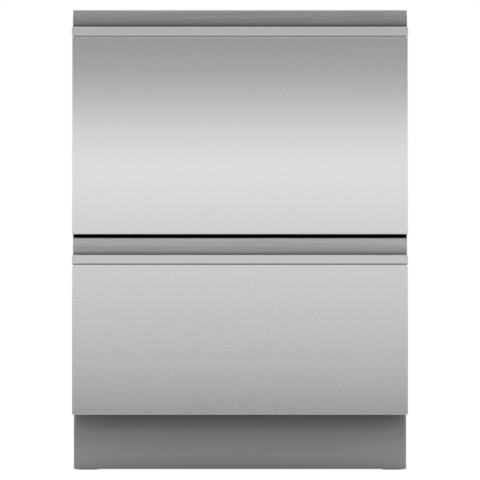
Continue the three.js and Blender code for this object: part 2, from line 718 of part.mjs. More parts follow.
// The plastic frame behind the panel, pocketed from the front. The tub is screwed to its rear face.
function doorFrame(d) {
  const top = d.top - HANDLE_BACK - TROUGH - SHEET - GAP;
  const wide = WIDTH / 2 - SHEET - GAP;
  const slab = block(-wide, wide, FRONT_Y + SHEET + GAP, FRONT_REAR, d.bottom + SHEET + GAP, d.seam - SHEET - GAP);
  const trim = block(-wide - 1, wide + 1, FRONT_Y, FRONT_REAR + 1, top, d.seam + 10);
  const edges = spread(FRAME_RIBS + 1, -wide + FRAME_WALL, wide);
  const pockets = edges
    .slice(0, -1)
    .map((x, i) =>
      block(x, edges[i + 1] - FRAME_WALL, FRONT_Y, FRONT_REAR - FRAME_WALL, d.bottom + 2 * FRAME_WALL + 2, top - FRAME_WALL),
    );
  const high = podFoot(d) - GAP;
  const landing = block(-LANDING_X, LANDING_X, FRONT_REAR - 0.5, LANDING_Y, d.floor + 20, high);
  const hollow = block(-LANDING_X + 24, LANDING_X - 24, FRONT_REAR + 1, LANDING_Y + 5, d.floor + 32, high - 12);
  return cut(union([cut(slab, trim, ...pockets), landing]), hollow);
}

// The control pod behind the handle: a closed box with a row of touch keys let into its top.
function controlPod(d) {
  const y0 = FRONT_Y + RECESS + SHEET + GAP;
  const low = podFoot(d);
  const top = d.top - POD_DROP;
  const half = SIDE_INNER - 12;
  const body = extruded(roundedRectangle(-half, half, y0, LANDING_Y, 4), "Z", low, top, 1);
  const keys = spread(KEYS, -half / 2, half / 2).map((x) =>
    block(x - 13, x + 13, y0 + 3.5, y0 + 10.5, top - 0.6, top + 1),
  );
  const display = block(-half + 49, -half + 89, y0 + 3, y0 + 11, top - 0.6, top + 1);
  return cut(body, ...keys, display);
}

// ---------------------------------------------------------------- tub and what it carries
const MOUTH_X = TUB_WIDTH / 2;
const MOUTH_Y = TUB_DEPTH / 2;
const MOUTH_MIDDLE = (TUB_Y0 + TUB_Y1) / 2;
const RAIL_IN = 1; // the tub's side rails reach this far into the wall

const runnerMiddle = (d) => d.floor + RUNNER_ABOVE_FLOOR;
const nested = (level) => {
  const step = level * (RUNNER_SHEET + RUN);
  return {
    web: SIDE_INNER - GAP - step,
    half: RUNNER_HEIGHT / 2 - step,
    open: SIDE_INNER - GAP - RUNNER_DEPTH - level * 1.5,
  };
};
const RAIL_FACE = nested(2).open - GAP;
const RAIL_HALF = nested(2).half + 1;
const CUP_FACE = TUB_Y0 + TUB_WALL + 5; // the dispenser's flat face inside the tub
const cupBottom = (d) => d.rim - 26 - CUP_HEIGHT;

function tub(d) {
  const shell = (inset, low, top) => {
    const draft = (z) => inset + (TUB_DRAFT * (d.rim - z)) / (d.rim - d.floor);
    const at = (z, more = 0) =>
      ring(MOUTH_X - draft(z) - more, MOUTH_Y - draft(z) - more, MOUTH_MIDDLE, z, Math.max(TUB_CORNER - inset - more, 6));
    return lofted([at(low, 14), at(low + 4, 5), at(low + 14), at(top)]);
  };
  const outside = shell(0, d.floor - TUB_WALL, d.rim);
  const inside = shell(TUB_WALL, d.floor, d.rim + 0.01);
  const flange = lofted([
    ring(MOUTH_X + RIM_FLANGE, MOUTH_Y + RIM_FLANGE, MOUTH_MIDDLE, d.rim - RIM_THICK, TUB_CORNER + RIM_FLANGE),
    ring(MOUTH_X + RIM_FLANGE, MOUTH_Y + RIM_FLANGE, MOUTH_MIDDLE, d.rim - 1, TUB_CORNER + RIM_FLANGE),
    ring(MOUTH_X + RIM_FLANGE - 1, MOUTH_Y + RIM_FLANGE - 1, MOUTH_MIDDLE, d.rim, TUB_CORNER + RIM_FLANGE - 1),
  ]);
  const mouth = lofted([
    ring(MOUTH_X - TUB_WALL, MOUTH_Y - TUB_WALL, MOUTH_MIDDLE, d.rim - 9, TUB_CORNER - TUB_WALL),
    ring(MOUTH_X - TUB_WALL, MOUTH_Y - TUB_WALL, MOUTH_MIDDLE, d.rim + 5, TUB_CORNER - TUB_WALL),
  ]);
  const sump = round("Z", 0, SUMP_Y, SUMP_RADIUS + TUB_WALL, d.floor - SUMP_DEPTH, d.floor - 1, SUMP_SIDES);
  const well = round("Z", 0, SUMP_Y, SUMP_RADIUS, d.floor - SUMP_DEPTH + TUB_WALL, d.floor + 5, SUMP_SIDES);
  const middle = runnerMiddle(d);
  const rails = mirrored(MOUTH_X - TUB_DRAFT - RAIL_IN - 8, RAIL_FACE, TUB_Y0 + 6, TUB_Y1 - 6, middle - RAIL_HALF, middle + RAIL_HALF);
  const pads = mirrored(LANDING_X - 124, LANDING_X - 54, TUB_Y0 - RIM_FLANGE, TUB_Y0 + 12, d.floor + 34, d.floor + 64);
  const cup = block(-CUP_WIDTH / 2, CUP_WIDTH / 2, TUB_Y0 - RIM_FLANGE, CUP_FACE, cupBottom(d), cupBottom(d) + CUP_HEIGHT);
  const hull = cut(union([outside, flange, sump, ...rails, ...pads]), inside, mouth, well);
  const [low, high] = [cupBottom(d), cupBottom(d) + CUP_HEIGHT];
  const chamber = block(-CUP_WIDTH / 2 + 5, -2, TUB_Y0 - RIM_FLANGE + 2, CUP_FACE + 9, low + 7, high - 7);
  const guides = [
    [low, low + 4, low + 6],
    [high, high - 4, high - 6],
  ].flatMap(([edge, track, lip]) => [
    block(-CUP_WIDTH / 2, CUP_WIDTH / 2, CUP_FACE - 1, CUP_FACE + 6, Math.min(edge, track), Math.max(edge, track)),
    block(-CUP_WIDTH / 2, CUP_WIDTH / 2, CUP_FACE + COVER_THICK + 2 * GAP, CUP_FACE + 6, Math.min(edge, lip), Math.max(edge, lip)),
  ]);
  return cut(union([hull, cup, ...guides]), chamber);
}

// A round filter in the sump: a slotted plate on a skirt, with the post that carries the spray arm.
const ARM_POST = 8;
function filterPlate(d) {
  const foot = d.floor - SUMP_DEPTH + TUB_WALL + GAP;
  const r = SUMP_RADIUS - 0.8;
  const body = turned(
    [
      [0, foot],
      [62, foot],
      [62, foot + 3],
      [66, d.floor - FILTER_THICK],
      [r, d.floor - FILTER_THICK],
      [r, d.floor],
      [24, d.floor + 3],
      [ARM_POST + 4, d.floor + ARM_LIFT - 3],
      [ARM_POST, d.floor + ARM_LIFT - 3],
      [ARM_POST, d.floor + ARM_LIFT + 5],
      [0, d.floor + ARM_LIFT + 5],
    ],
    0,
    SUMP_Y,
    SUMP_SIDES,
  );
  const under = turned(
    [
      [0, foot - 5],
      [58, foot - 5],
      [58, d.floor - FILTER_THICK],
      [0, d.floor - FILTER_THICK],
    ],
    0,
    SUMP_Y,
    SUMP_SIDES,
  );
  const slots = Array.from({ length: FILTER_SLOTS }, (_, i) =>
    block(34, 78, -1.6, 1.6, d.floor - 20, d.floor + 10)
      .rotate([0, 0, (360 * i) / FILTER_SLOTS])
      .translate([0, SUMP_Y, 0]),
  );
  return cut(body, under, ...slots);
}

// The wash motor hangs under the sump: a finned can with the drain pump's spout at its side.
function washMotor(d) {
  const top = d.floor - SUMP_DEPTH - GAP;
  const low = top - MOTOR_HEIGHT;
  const can = turned(
    [
      [0, low],
      [MOTOR_RADIUS - 14, low],
      [MOTOR_RADIUS - 8, low + 4],
      [MOTOR_RADIUS - 8, top - 12],
      [MOTOR_RADIUS, top - 10],
      [MOTOR_RADIUS, top],
      [0, top],
    ],
    0,
    SUMP_Y,
    18,
  );
  const fins = Array.from({ length: MOTOR_RIBS }, (_, i) =>
    block(MOTOR_RADIUS - 16, MOTOR_RADIUS - 2, -1.5, 1.5, low + 4, top - 9)
      .rotate([0, 0, (360 * (i + 0.5)) / MOTOR_RIBS])
      .translate([0, SUMP_Y, 0]),
  );
  const spout = round("Y", (top + low) / 2, 30, 13, SUMP_Y, SUMP_Y + MOTOR_RADIUS + 34, 10);
  const bore = round("Y", (top + low) / 2, 30, 9.5, SUMP_Y + MOTOR_RADIUS, SUMP_Y + MOTOR_RADIUS + 50, 8);
  return cut(union([can, ...fins, spout]), bore);
}

// The spray arm: two swept wings on a hub, with slanting jets along the upper side.
function sprayArm(d) {
  const z0 = d.floor + ARM_LIFT;
  const half = ARM_WIDTH / 2;
  const shape = new THREE.Shape();
  shape.moveTo(0, half + 3);
  shape.quadraticCurveTo(ARM_REACH * 0.45, half + 1, ARM_REACH - 10, half - 10);
  shape.quadraticCurveTo(ARM_REACH, 0, ARM_REACH - 12, -half + 6);
  shape.quadraticCurveTo(ARM_REACH * 0.5, -half - 8, 0, -half - 3);
  shape.quadraticCurveTo(-ARM_REACH * 0.45, -half - 1, -ARM_REACH + 10, -half + 10);
  shape.quadraticCurveTo(-ARM_REACH, 0, -ARM_REACH + 12, half - 6);
  shape.quadraticCurveTo(-ARM_REACH * 0.5, half + 8, 0, half + 3);
  const wings = extruded(shape, "Z", z0, z0 + ARM_HEIGHT, 2);
  const hub = turned(
    [
      [0, z0 - 1],
      [HUB_RADIUS - 2, z0 - 1],
      [HUB_RADIUS, z0 + 1],
      [HUB_RADIUS - 3, z0 + ARM_HEIGHT + 4],
      [HUB_RADIUS - 9, z0 + ARM_HEIGHT + 8],
      [0, z0 + ARM_HEIGHT + 9],
    ],
    0,
    0,
    12,
  );
  const jets = [1, -1].flatMap((side) =>
    spread(JETS, HUB_RADIUS + 26, ARM_REACH - 20).map((x, i) =>
      round("Z", side * x, side * (i % 2 ? 5 : -4), 3, z0 + ARM_HEIGHT - 2.5, z0 + ARM_HEIGHT + 5, 6),
    ),
  );
  const seat = round("Z", 0, 0, ARM_POST + FOOT_CLEARANCE, z0 - 10, z0 + 5 + GAP, SUMP_SIDES);
  return cut(wings.add(hub), ...jets, seat).translate([0, SUMP_Y, 0]);
}

// The sliding cover over the dispenser's chamber.
function dispenserCover(d) {
  const [low, high] = [cupBottom(d) + 4 + GAP, cupBottom(d) + CUP_HEIGHT - 4 - GAP];
  const plate = block(-CUP_WIDTH / 2 + 2, 1, CUP_FACE + GAP, CUP_FACE + GAP + COVER_THICK, low, high);
  const grip = extruded(roundedRectangle(low + 14, high - 14, -11, -5, 2.5), "Y", CUP_FACE + 1, CUP_FACE + COVER_THICK + 3);
  return plate.add(grip);
}

// ---------------------------------------------------------------- runners
// Three channels nested in each other; level 0 is on the cabinet and level 2 on the tub.
function runner(d, side, level) {
  const { web, half, open } = nested(level);
  const z = runnerMiddle(d);
  const line = folded(
    [
      [z - half, open],
      [z - half, web],
      [z + half, web],
      [z + half, open],
    ],
    -RUNNER_SHEET,
    2.2,
    2,
  );
  const channel = extruded(line, "Y", TUB_Y0, TUB_Y1);
  return side > 0 ? channel : channel.mirror([1, 0, 0]);
}

// ---------------------------------------------------------------- lid
const lidLow = (d) => d.rim + LID_LIFT + SEAL_HEIGHT + GAP;
const LID_X = MOUTH_X + RIM_FLANGE;
const LID_Y0 = TUB_Y0 - RIM_FLANGE + 0.6;
const LID_Y1 = TUB_Y1 + RIM_FLANGE;
const LID_MIDDLE = (LID_Y0 + LID_Y1) / 2;
const LUG_Y = SUMP_Y;

// A shallow tray turned upwards, ribbed across, with a lug at each side for its actuator.
function lid(d) {
  const z = lidLow(d);
  const outer = extruded(roundedRectangle(-LID_X, LID_X, LID_Y0, LID_Y1, TUB_CORNER), "Z", z, z + LID_THICK);
  const inner = extruded(
    roundedRectangle(-LID_X + LID_SHEET, LID_X - LID_SHEET, LID_Y0 + LID_SHEET, LID_Y1 - LID_SHEET, TUB_CORNER - LID_SHEET),
    "Z",
    z + LID_SHEET,
    z + LID_THICK + 5,
  );
  const ribs = spread(LID_RIBS, -LID_X * 0.56, LID_X * 0.56).map((x) => block(x - 1.5, x + 1.5, LID_Y0 + 2, LID_Y1 - 2, z + 2, z + LID_THICK - 4));
  const lugs = mirrored(LID_X - 1, LID_X + LUG_REACH, LUG_Y - LUG_LENGTH / 2, LUG_Y + LUG_LENGTH / 2, z, z + LUG_HEIGHT);
  return union([cut(outer, inner), ...ribs, ...lugs]);
}

function lidSeal(d) {
  const z0 = d.rim + LID_LIFT;
  const loop = (inset, low, high) => {
    const at = (z, more) => ring(LID_X - 2 - inset + more, (LID_Y1 - LID_Y0) / 2 - 2 - inset + more, LID_MIDDLE, z, TUB_CORNER - inset);
    return inset ? lofted([at(low - 1, 0), at(high + 1, 0)]) : lofted([at(low, -2), at(low + 2, 0), at(high, 0)]);
  };
  return cut(loop(0, z0, z0 + SEAL_HEIGHT), loop(SEAL_THICK, z0, z0 + SEAL_HEIGHT));
}

// The actuator on the cabinet's side: its slot holds the lid's lug and lets it travel.
function lidActuator(d, side) {
  const z = lidLow(d);
  const [x0, x1] = [LID_X + 0.6, SIDE_INNER - GAP];
  const [y0, y1] = [LUG_Y - ACTUATOR_LENGTH / 2, LUG_Y + ACTUATOR_LENGTH / 2];
  const body = block(x0, x1, y0, y1, z - LID_LIFT - ACTUATOR_BELOW, z + LID_THICK + 5);
  const slot = block(
    x0 - 5,
    LID_X + LUG_REACH + 1,
    LUG_Y - LUG_LENGTH / 2 - GAP,
    LUG_Y + LUG_LENGTH / 2 + GAP,
    z - LID_LIFT - GAP,
    z + LUG_HEIGHT + GAP,
  );
  const motor = round("Y", z + 6, x0 + 9, 9, LUG_Y + 18, y1 + 24, 10);
  const made = cut(body, slot).add(motor);
  return side > 0 ? made : made.mirror([1, 0, 0]);
}

// ---------------------------------------------------------------- racks
const RACK_X = MOUTH_X - TUB_WALL - RACK_CLEAR;
const RACK_Y = MOUTH_Y - TUB_WALL - RACK_CLEAR_FRONT;
const rackBase = (d) => d.floor + RACK_ABOVE_FLOOR;
const CROSS_Y = spread(CROSS_WIRES, MOUTH_MIDDLE - RACK_Y + 30, MOUTH_MIDDLE + RACK_Y - 30);
const LONG_X = spread(LONG_WIRES, -RACK_X + 34, RACK_X - 34);
const LAP = 0.8; // crossing wires lie this far apart, as a share of their thickness
const WIRE_HALF = WIRE * Math.cos(Math.PI / WIRE_SIDES); // from a wire's middle to its flat

// A wire that runs down one side, along the base and up the other side.
function cradle(d, reach, place) {
  const z = rackBase(d);
  const low = reach - RACK_TAPER;
  const up = z + d.rack;
  const start = low + (RACK_TAPER * RACK_BEND) / d.rack;
  return [
    [-reach, up],
    [-start, z + RACK_BEND],
    [-low + RACK_BEND, z],
    [low - RACK_BEND, z],
    [start, z + RACK_BEND],
    [reach, up],
  ].map(([a, b]) => place(a, b));
}

// A closed hoop of wire round the basket at a height.
function hoop(d, height, radius) {
  const inset = RACK_TAPER * (1 - height / d.rack);
  const points = ring(RACK_X - inset, RACK_Y - inset, MOUTH_MIDDLE, rackBase(d) + height, 30, 2);
  return wire(points.map((p) => [p.x, p.y, p.z]), radius, true);
}

const MIDDLE_WIRE = (CROSS_WIRES - 1) / 2;
const COMB_Y = CROSS_Y[MIDDLE_WIRE] + 14;
const COMB_Z = (d) => rackBase(d) + WIRE + TINE_WIRE + 2.2;
const COMB_X = [18, 18 + TINE_PITCH * (TINES_A_ROW - 1) + 16];
const SHELF_X = -RACK_X + RACK_TAPER + 6;
const SHELF_Y = [MOUTH_MIDDLE - SHELF_LENGTH / 2, MOUTH_MIDDLE + SHELF_LENGTH / 2];

function rack(d) {
  const z = rackBase(d);
  const across = CROSS_Y.map((y) => wire(cradle(d, RACK_X, (x, up) => [x, y, up]), WIRE));
  const drop = (up) => WIRE_HALF * LAP * 2 * (1 - (up - z) / d.rack);
  const under = LONG_X.map((x) => wire(cradle(d, RACK_Y, (y, up) => [x, MOUTH_MIDDLE + y, up - drop(up)]), WIRE));
  const rim = hoop(d, d.rack, RIM_WIRE);
  const tines = spread(TINE_ROWS, 1, 2 * TINE_ROWS - 1).flatMap((row) =>
    spread(TINES_A_ROW, -RACK_X + 40, -30).map((x) => {
      const y = CROSS_Y[row];
      return wire([[x, y, z], [x, y + 4, z + TINE_HEIGHT]], TINE_WIRE);
    }),
  );
  const clips = [COMB_X[0] + 9, COMB_X[1] - 9].map((x) => {
    const body = block(x - 3, x + 3, COMB_Y - 5, COMB_Y + 5, z - WIRE * 2.4, COMB_Z(d) + 4.5);
    const foot = block(x - 3, x + 3, CROSS_Y[MIDDLE_WIRE] - 2, COMB_Y, z - WIRE * 2, z + WIRE);
    return body.add(foot).subtract(round("X", COMB_Y, COMB_Z(d), TINE_WIRE + FOOT_CLEARANCE, x - 8, x + 8, 10));
  });
  const shelfZ = z + SHELF_ABOVE_RACK;
  const hooks = SHELF_Y.map((y, i) => {
    const inward = y + (i ? -9 : 9);
    const nearest = CROSS_Y.reduce((a, b) => (Math.abs(b - inward) < Math.abs(a - inward) ? b : a));
    const [y0, y1] = [Math.min(nearest, inward) - 4, Math.max(nearest, inward) + 4];
    const body = block(-RACK_X - 1, -RACK_X + 8, y0, y1, shelfZ - 5, shelfZ + 5);
    const eye = block(-RACK_X + 4, SHELF_X + 5, inward - 4, inward + 4, shelfZ - 5, shelfZ + 5);
    return body.add(eye).subtract(round("Y", shelfZ, SHELF_X, TINE_WIRE + FOOT_CLEARANCE, inward - 9, inward + 9, 10));
  });
  const feet = [-1, 1].flatMap((sx) =>
    [1, CROSS_WIRES - 2].map((row) => round("Z", sx * (RACK_X - 34), CROSS_Y[row], RACK_FOOT / 2, d.floor + GAP, z + WIRE / 2, 6)),
  );
  return union([...across, ...under, rim, ...tines, ...clips, ...hooks, ...feet]);
}

// The folding comb: a pivot rod in the rack's clips, with a row of tines.
function foldingTines(d) {
  const z = COMB_Z(d);
  const rod = wire([[COMB_X[0], COMB_Y, z], [COMB_X[1], COMB_Y, z]], TINE_WIRE, false, 8);
  const tines = spread(TINES_A_ROW, COMB_X[0] + 18, COMB_X[1] - 18).map((x) =>
    wire([[x, COMB_Y, z], [x, COMB_Y + 4, z + TINE_HEIGHT]], TINE_WIRE),
  );
  return union([rod, ...tines]);
}

// The cup shelf: a wire frame that hinges up along the rack's left side.
function cupShelf(d) {
  const z = rackBase(d) + SHELF_ABOVE_RACK;
  const [y0, y1] = SHELF_Y;
  const frame = wire(
    [
      [SHELF_X, y0, z],
      [SHELF_X + SHELF_WIDTH - 10, y0, z],
      [SHELF_X + SHELF_WIDTH, y0 + 10, z],
      [SHELF_X + SHELF_WIDTH, y1 - 10, z],
      [SHELF_X + SHELF_WIDTH - 10, y1, z],
      [SHELF_X, y1, z],
    ],
    TINE_WIRE,
    true,
    6,
  );
  const rods = spread(SHELF_RODS, y0 + 26, y1 - 26).map((y) =>
    wire(
      [
        [SHELF_X, y, z],
        [SHELF_X + SHELF_WIDTH * 0.35, y, z - 5],
        [SHELF_X + SHELF_WIDTH * 0.65, y, z - 5],
        [SHELF_X + SHELF_WIDTH, y, z],
      ],
      TINE_WIRE * 0.9,
    ),
  );
  return union([frame, ...rods]);
}

// The cutlery basket: three open cells, standing on the rack's base.
function cutleryBasket(d) {
  const x0 = RACK_X - RACK_TAPER - RACK_BEND - BASKET_LENGTH - 2;
  const y0 = MOUTH_MIDDLE + RACK_Y - BASKET_BEHIND - BASKET_WIDTH;
  const z = rackBase(d) + WIRE_HALF + GAP;
  const body = extruded(roundedRectangle(x0, x0 + BASKET_LENGTH, y0, y0 + BASKET_WIDTH, 6), "Z", z, z + BASKET_HEIGHT);
  const edges = spread(BASKET_CELLS + 1, x0 + BASKET_WALL, x0 + BASKET_LENGTH);
  const cells = edges
    .slice(0, -1)
    .map((x, i) => block(x, edges[i + 1] - BASKET_WALL, y0 + BASKET_WALL, y0 + BASKET_WIDTH - BASKET_WALL, z + 3, z + 2 * BASKET_HEIGHT));
  return cut(body, ...cells);
}

// ---------------------------------------------------------------- the two drawers
const DRAWERS = [
  {
    name: "upper",
    bottom: UPPER_BOTTOM,
    top: UPPER_TOP,
    floor: UPPER_BOTTOM + FLOOR_ABOVE_UPPER,
    rack: RACK_HEIGHT_UPPER,
  },
  {
    name: "lower",
    bottom: KICK_HEIGHT,
    top: LOWER_TOP,
    floor: KICK_HEIGHT + FLOOR_ABOVE_LOWER,
    rack: RACK_HEIGHT_LOWER,
  },
].map((d) => ({ ...d, seam: d.top - HANDLE_BACK - LIP_FACE - SEAM, rim: d.top - RIM_DROP }));

for (const d of DRAWERS) {
  add(`${d.name}_front_panel`, frontPanel(d), STAINLESS);
  add(`${d.name}_handle`, handleCap(d), STAINLESS);
  add(`${d.name}_door_frame`, doorFrame(d), FRAME_GREY);
  add(`${d.name}_control_pod`, controlPod(d), BLACK);
  add(`${d.name}_tub`, tub(d), TUB_GREY);
  add(`${d.name}_filter`, filterPlate(d), DARK_PLASTIC);
  add(`${d.name}_wash_motor`, washMotor(d), DARK_PLASTIC);
  add(`${d.name}_spray_arm`, sprayArm(d), FRAME_GREY);
  add(`${d.name}_detergent_cover`, dispenserCover(d), FRAME_GREY);
  add(`${d.name}_rack`, rack(d), RACK_NYLON);
  add(`${d.name}_folding_tines`, foldingTines(d), RACK_NYLON);
  add(`${d.name}_cup_shelf`, cupShelf(d), RACK_NYLON);
  add(`${d.name}_lid`, lid(d), LID_WHITE);
  add(`${d.name}_lid_seal`, lidSeal(d), RUBBER);
  for (const [word, side] of [["left", -1], ["right", 1]]) {
    add(`${d.name}_lid_actuator_${word}`, lidActuator(d, side), BLACK);
    ["fixed", "middle", "moving"].forEach((part, level) =>
      add(`${d.name}_runner_${part}_${word}`, runner(d, side, level), RUNNER_STEEL),
    );
  }
}
add("cutlery_basket", cutleryBasket(DRAWERS[0]), DARK_PLASTIC);

export default dishwasher;
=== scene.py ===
# %% [markdown]
# # A double dishwasher drawer
#
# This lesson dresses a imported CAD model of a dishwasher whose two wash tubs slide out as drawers.
# The CAD gives every place and every moving body. The script adds the smooth sheet metal, the
# round wires and the finishes that make it look real. All lengths below are written in
# millimetres and turned into Blender's metres where a mesh is made.

import json

import bpy
import numpy as np
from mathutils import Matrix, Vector


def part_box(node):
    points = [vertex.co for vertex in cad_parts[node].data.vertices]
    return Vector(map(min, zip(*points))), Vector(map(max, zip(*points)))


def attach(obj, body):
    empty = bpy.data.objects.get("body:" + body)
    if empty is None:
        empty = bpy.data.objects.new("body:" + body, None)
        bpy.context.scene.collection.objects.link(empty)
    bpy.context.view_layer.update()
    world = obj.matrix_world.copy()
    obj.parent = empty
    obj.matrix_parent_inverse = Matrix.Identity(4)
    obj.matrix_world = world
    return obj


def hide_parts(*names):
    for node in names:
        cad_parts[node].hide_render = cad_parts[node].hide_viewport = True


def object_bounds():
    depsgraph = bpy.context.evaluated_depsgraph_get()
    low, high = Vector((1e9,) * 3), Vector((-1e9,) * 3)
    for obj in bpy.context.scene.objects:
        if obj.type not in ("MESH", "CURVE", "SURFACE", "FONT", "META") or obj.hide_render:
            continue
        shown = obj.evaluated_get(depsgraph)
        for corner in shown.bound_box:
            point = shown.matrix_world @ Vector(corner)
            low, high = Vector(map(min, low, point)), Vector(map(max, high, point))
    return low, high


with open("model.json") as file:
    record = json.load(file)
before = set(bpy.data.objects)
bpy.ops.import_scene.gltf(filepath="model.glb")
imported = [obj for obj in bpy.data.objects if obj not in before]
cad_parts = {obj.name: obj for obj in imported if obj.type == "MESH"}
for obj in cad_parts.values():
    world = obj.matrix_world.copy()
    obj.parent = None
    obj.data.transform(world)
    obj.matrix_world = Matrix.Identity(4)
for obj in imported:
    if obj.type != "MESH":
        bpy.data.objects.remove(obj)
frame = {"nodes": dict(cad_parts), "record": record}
cad_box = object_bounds()
MM = 0.001
NODES = frame["nodes"]
DRAWERS = "upper", "lower"
SIDES = ("left", -1), ("right", 1)


def node_box(node):
    """A CAD node's lowest and highest corners, in millimetres."""
    low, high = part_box(node)
    return np.array(low) / MM, np.array(high) / MM


# %% [markdown]
# ## The camera
#
# The front is drawn almost without perspective: the recessed handle plates look hardly narrower
# than the fronts. A long lens far away gives that view and still has a real place in the room,
# which an orthographic camera has not. The lens follows from the width the picture takes in at
# the plane of the drawer fronts.

# %% Camera
CAMERA_DISTANCE = 19.0  # metres from the drawer fronts
PICTURE_WIDTH = 0.8538  # metres across the picture, at the drawer fronts
SENSOR = 36.0  # millimetres
FRONT_PLANE = cad_box[0][1]
LOOK_HEIGHT = 0.410  # metres: half the height of the cabinet
FAR = 60.0  # metres: nothing beyond is drawn

camera_data = bpy.data.cameras.new("camera")
camera_data.sensor_width = SENSOR
camera_data.lens = SENSOR * CAMERA_DISTANCE / PICTURE_WIDTH
camera_data.clip_end = FAR
camera = bpy.data.objects.new("camera", camera_data)
camera.location = (0, FRONT_PLANE - CAMERA_DISTANCE, LOOK_HEIGHT)
camera.rotation_euler = (np.pi / 2, 0, 0)
bpy.context.scene.collection.objects.link(camera)
bpy.context.scene.camera = camera
print("camera: lens", round(camera_data.lens, 1), "mm")

# %% [markdown]
# ## Shader arithmetic
#
# A procedural finish is a formula: a noise here, a mask there, some sums. Wiring each sum by hand
# hides the formula, so a small class wraps a socket and lets Python's own operators add the Math
# nodes. One method makes every other kind of node, in a material as well as in the world.


# %% A socket with arithmetic, and the tree that holds it
class Value:
    """A number that varies over a surface: one output socket, with + - * and / either way."""

    def __init__(self, wiring, socket):
        self.wiring = wiring
        self.socket = socket

    def _math(self, operation, first, second):
        return self.wiring.node("ShaderNodeMath", {"operation": operation}, {0: first, 1: second})

    def __add__(self, other):
        return self._math("ADD", self, other)

    def __sub__(self, other):
        return self._math("SUBTRACT", self, other)

    def __rsub__(self, other):
        return self._math("SUBTRACT", other, self)

    def __mul__(self, other):
        return self._math("MULTIPLY", self, other)

    def __truediv__(self, other):
        return self._math("DIVIDE", self, other)

    def __rtruediv__(self, other):
        return self._math("DIVIDE", other, self)

    __radd__ = __add__
    __rmul__ = __mul__


class Wiring:
    """A node tree, with one method for every kind of node."""

    def __init__(self, tree):
        self.tree = tree

    def feed(self, socket, value):
        """A link goes into the socket, and a plain number or colour is set on it."""
        if isinstance(value, Value):
            self.tree.links.new(value.socket, socket)
        else:
            socket.default_value = value

    def node(self, kind, settings=None, inputs=None, output=0):
        """Any node: its settings first, then the values or links of its sockets."""
        made = self.tree.nodes.new(kind)
        for key, value in (settings or {}).items():
            if key == "stops":
                ramp = made.color_ramp.elements
                for index, (place, shade) in enumerate(value):
                    stop = ramp[index] if index < 2 else ramp.new(place)
                    stop.position = place
                    stop.color = (shade, shade, shade, 1)
            else:
                setattr(made, key, value)
        for key, value in (inputs or {}).items():
            self.feed(made.inputs[key], value)
        return Value(self, made.outputs[output])


print("a value adds its own nodes to a tree")

# %% A finish: a material and its patterns
class Finish(Wiring):
    """A procedural material, started from its Principled shader."""

    def __init__(self, name, **constants):
        self.material = bpy.data.materials.new(name)
        self.material.use_nodes = True
        super().__init__(self.material.node_tree)
        self.shader = self.tree.nodes["Principled BSDF"]
        for socket, value in constants.items():
            self.vary(socket.replace("_", " "), value)

    def vary(self, socket, value):
        """Feeds one of the Principled shader's sockets."""
        self.feed(self.shader.inputs[socket], value)

    def show(self, shader):
        """Puts another shader on the surface, in place of the Principled one."""
        self.feed(self.tree.nodes["Material Output"].inputs["Surface"], shader)

    def place(self, scale):
        """Object coordinates, stretched by a scale along each axis."""
        where = self.node("ShaderNodeTexCoord", output="Object")
        return self.node("ShaderNodeMapping", inputs={"Vector": where, "Scale": scale})

    def noise(self, scale, detail=2.0, stretch=(1, 1, 1)):
        """Smooth noise from 0 to 1, with so many waves to the metre."""
        inputs = {"Vector": self.place(stretch), "Scale": scale, "Detail": detail}
        return self.node("ShaderNodeTexNoise", inputs=inputs)

    def by_height(self, stops):
        """A tone looked up by the height: stops are (height in metres, tone), lowest first."""
        low, high = stops[0][0], stops[-1][0]
        places = [((z - low) / (high - low), tone) for z, tone in stops]
        ends_first = [places[0], places[-1], *places[1:-1]]
        where = self.node("ShaderNodeTexCoord", output="Object")
        height = self.node("ShaderNodeSeparateXYZ", inputs={"Vector": where}, output="Z")
        factor = (height - low) / (high - low)
        return self.node("ShaderNodeValToRGB", {"stops": ends_first}, {"Fac": factor})

    def tint(self, colour, factor):
        """The base colour: a colour made lighter or darker by a varying factor near 1."""
        inputs = {0: colour[:3], "Scale": factor}
        tinted = self.node("ShaderNodeVectorMath", {"operation": "SCALE"}, inputs)
        self.vary("Base Color", tinted)

    def bump(self, height, distance, strength=1.0):
        """A bump whose full height is a distance in metres."""
        inputs = {"Strength": strength, "Distance": distance, "Height": height}
        self.vary("Normal", self.node("ShaderNodeBump", inputs=inputs))


def grey(level):
    """A linear grey from the grey of a picture, 0 to 255."""
    share = level / 255
    linear = share / 12.92 if share <= 0.04045 else ((share + 0.055) / 1.055) ** 2.4
    return (linear, linear, linear, 1)


print("a finish holds a material; mid grey is", round(grey(128)[0], 3), "in linear light")

# %% [markdown]
# ## Brushed stainless steel
#
# The fronts, the handles and the toe kick are brushed along their length: a belt leaves fine
# scratches a few tenths of a millimetre apart and some hundred times longer. A noise stretched
# that far draws them. They change the roughness more than the colour, so the streaks glitter
# where a light is reflected and vanish elsewhere. The anisotropy spreads reflections across them.
# The toe kick stands in the shade of the fronts: painted shade darkens its upper part,
# and painted light from the floor makes it lighter low down.


# %% Steel
def brushed_steel(name, level, roughness, streak, shade=None):
    """Steel with scratches along X: streak is how much they change the tone.

    shade is a list of (height in millimetres, tone), lowest first: painted shade and painted light
    that make the steel darker or lighter at some heights.
    """
    finish = Finish(name, Metallic=1.0, Anisotropic=0.35)
    fine = finish.noise(900, 3.0, stretch=(0.006, 1, 1))
    broad = finish.noise(60, 2.0, stretch=(0.03, 1, 1))
    cloud = finish.noise(3.5, 2.0)
    tone = 1 + (fine - 0.5) * streak + (broad - 0.5) * streak * 0.6 + (cloud - 0.5) * 0.01
    patches = (fine - 0.5) * streak * 3 + (cloud - 0.5) * 0.01
    # painted shade and light: the colour's tone follows the height
    if shade:
        tone = tone * finish.by_height([(z * MM, painted_tone) for z, painted_tone in shade])
    finish.tint(grey(level), tone)
    finish.vary("Roughness", roughness + patches)
    finish.bump(fine, 0.00002, 0.25)
    return finish.material


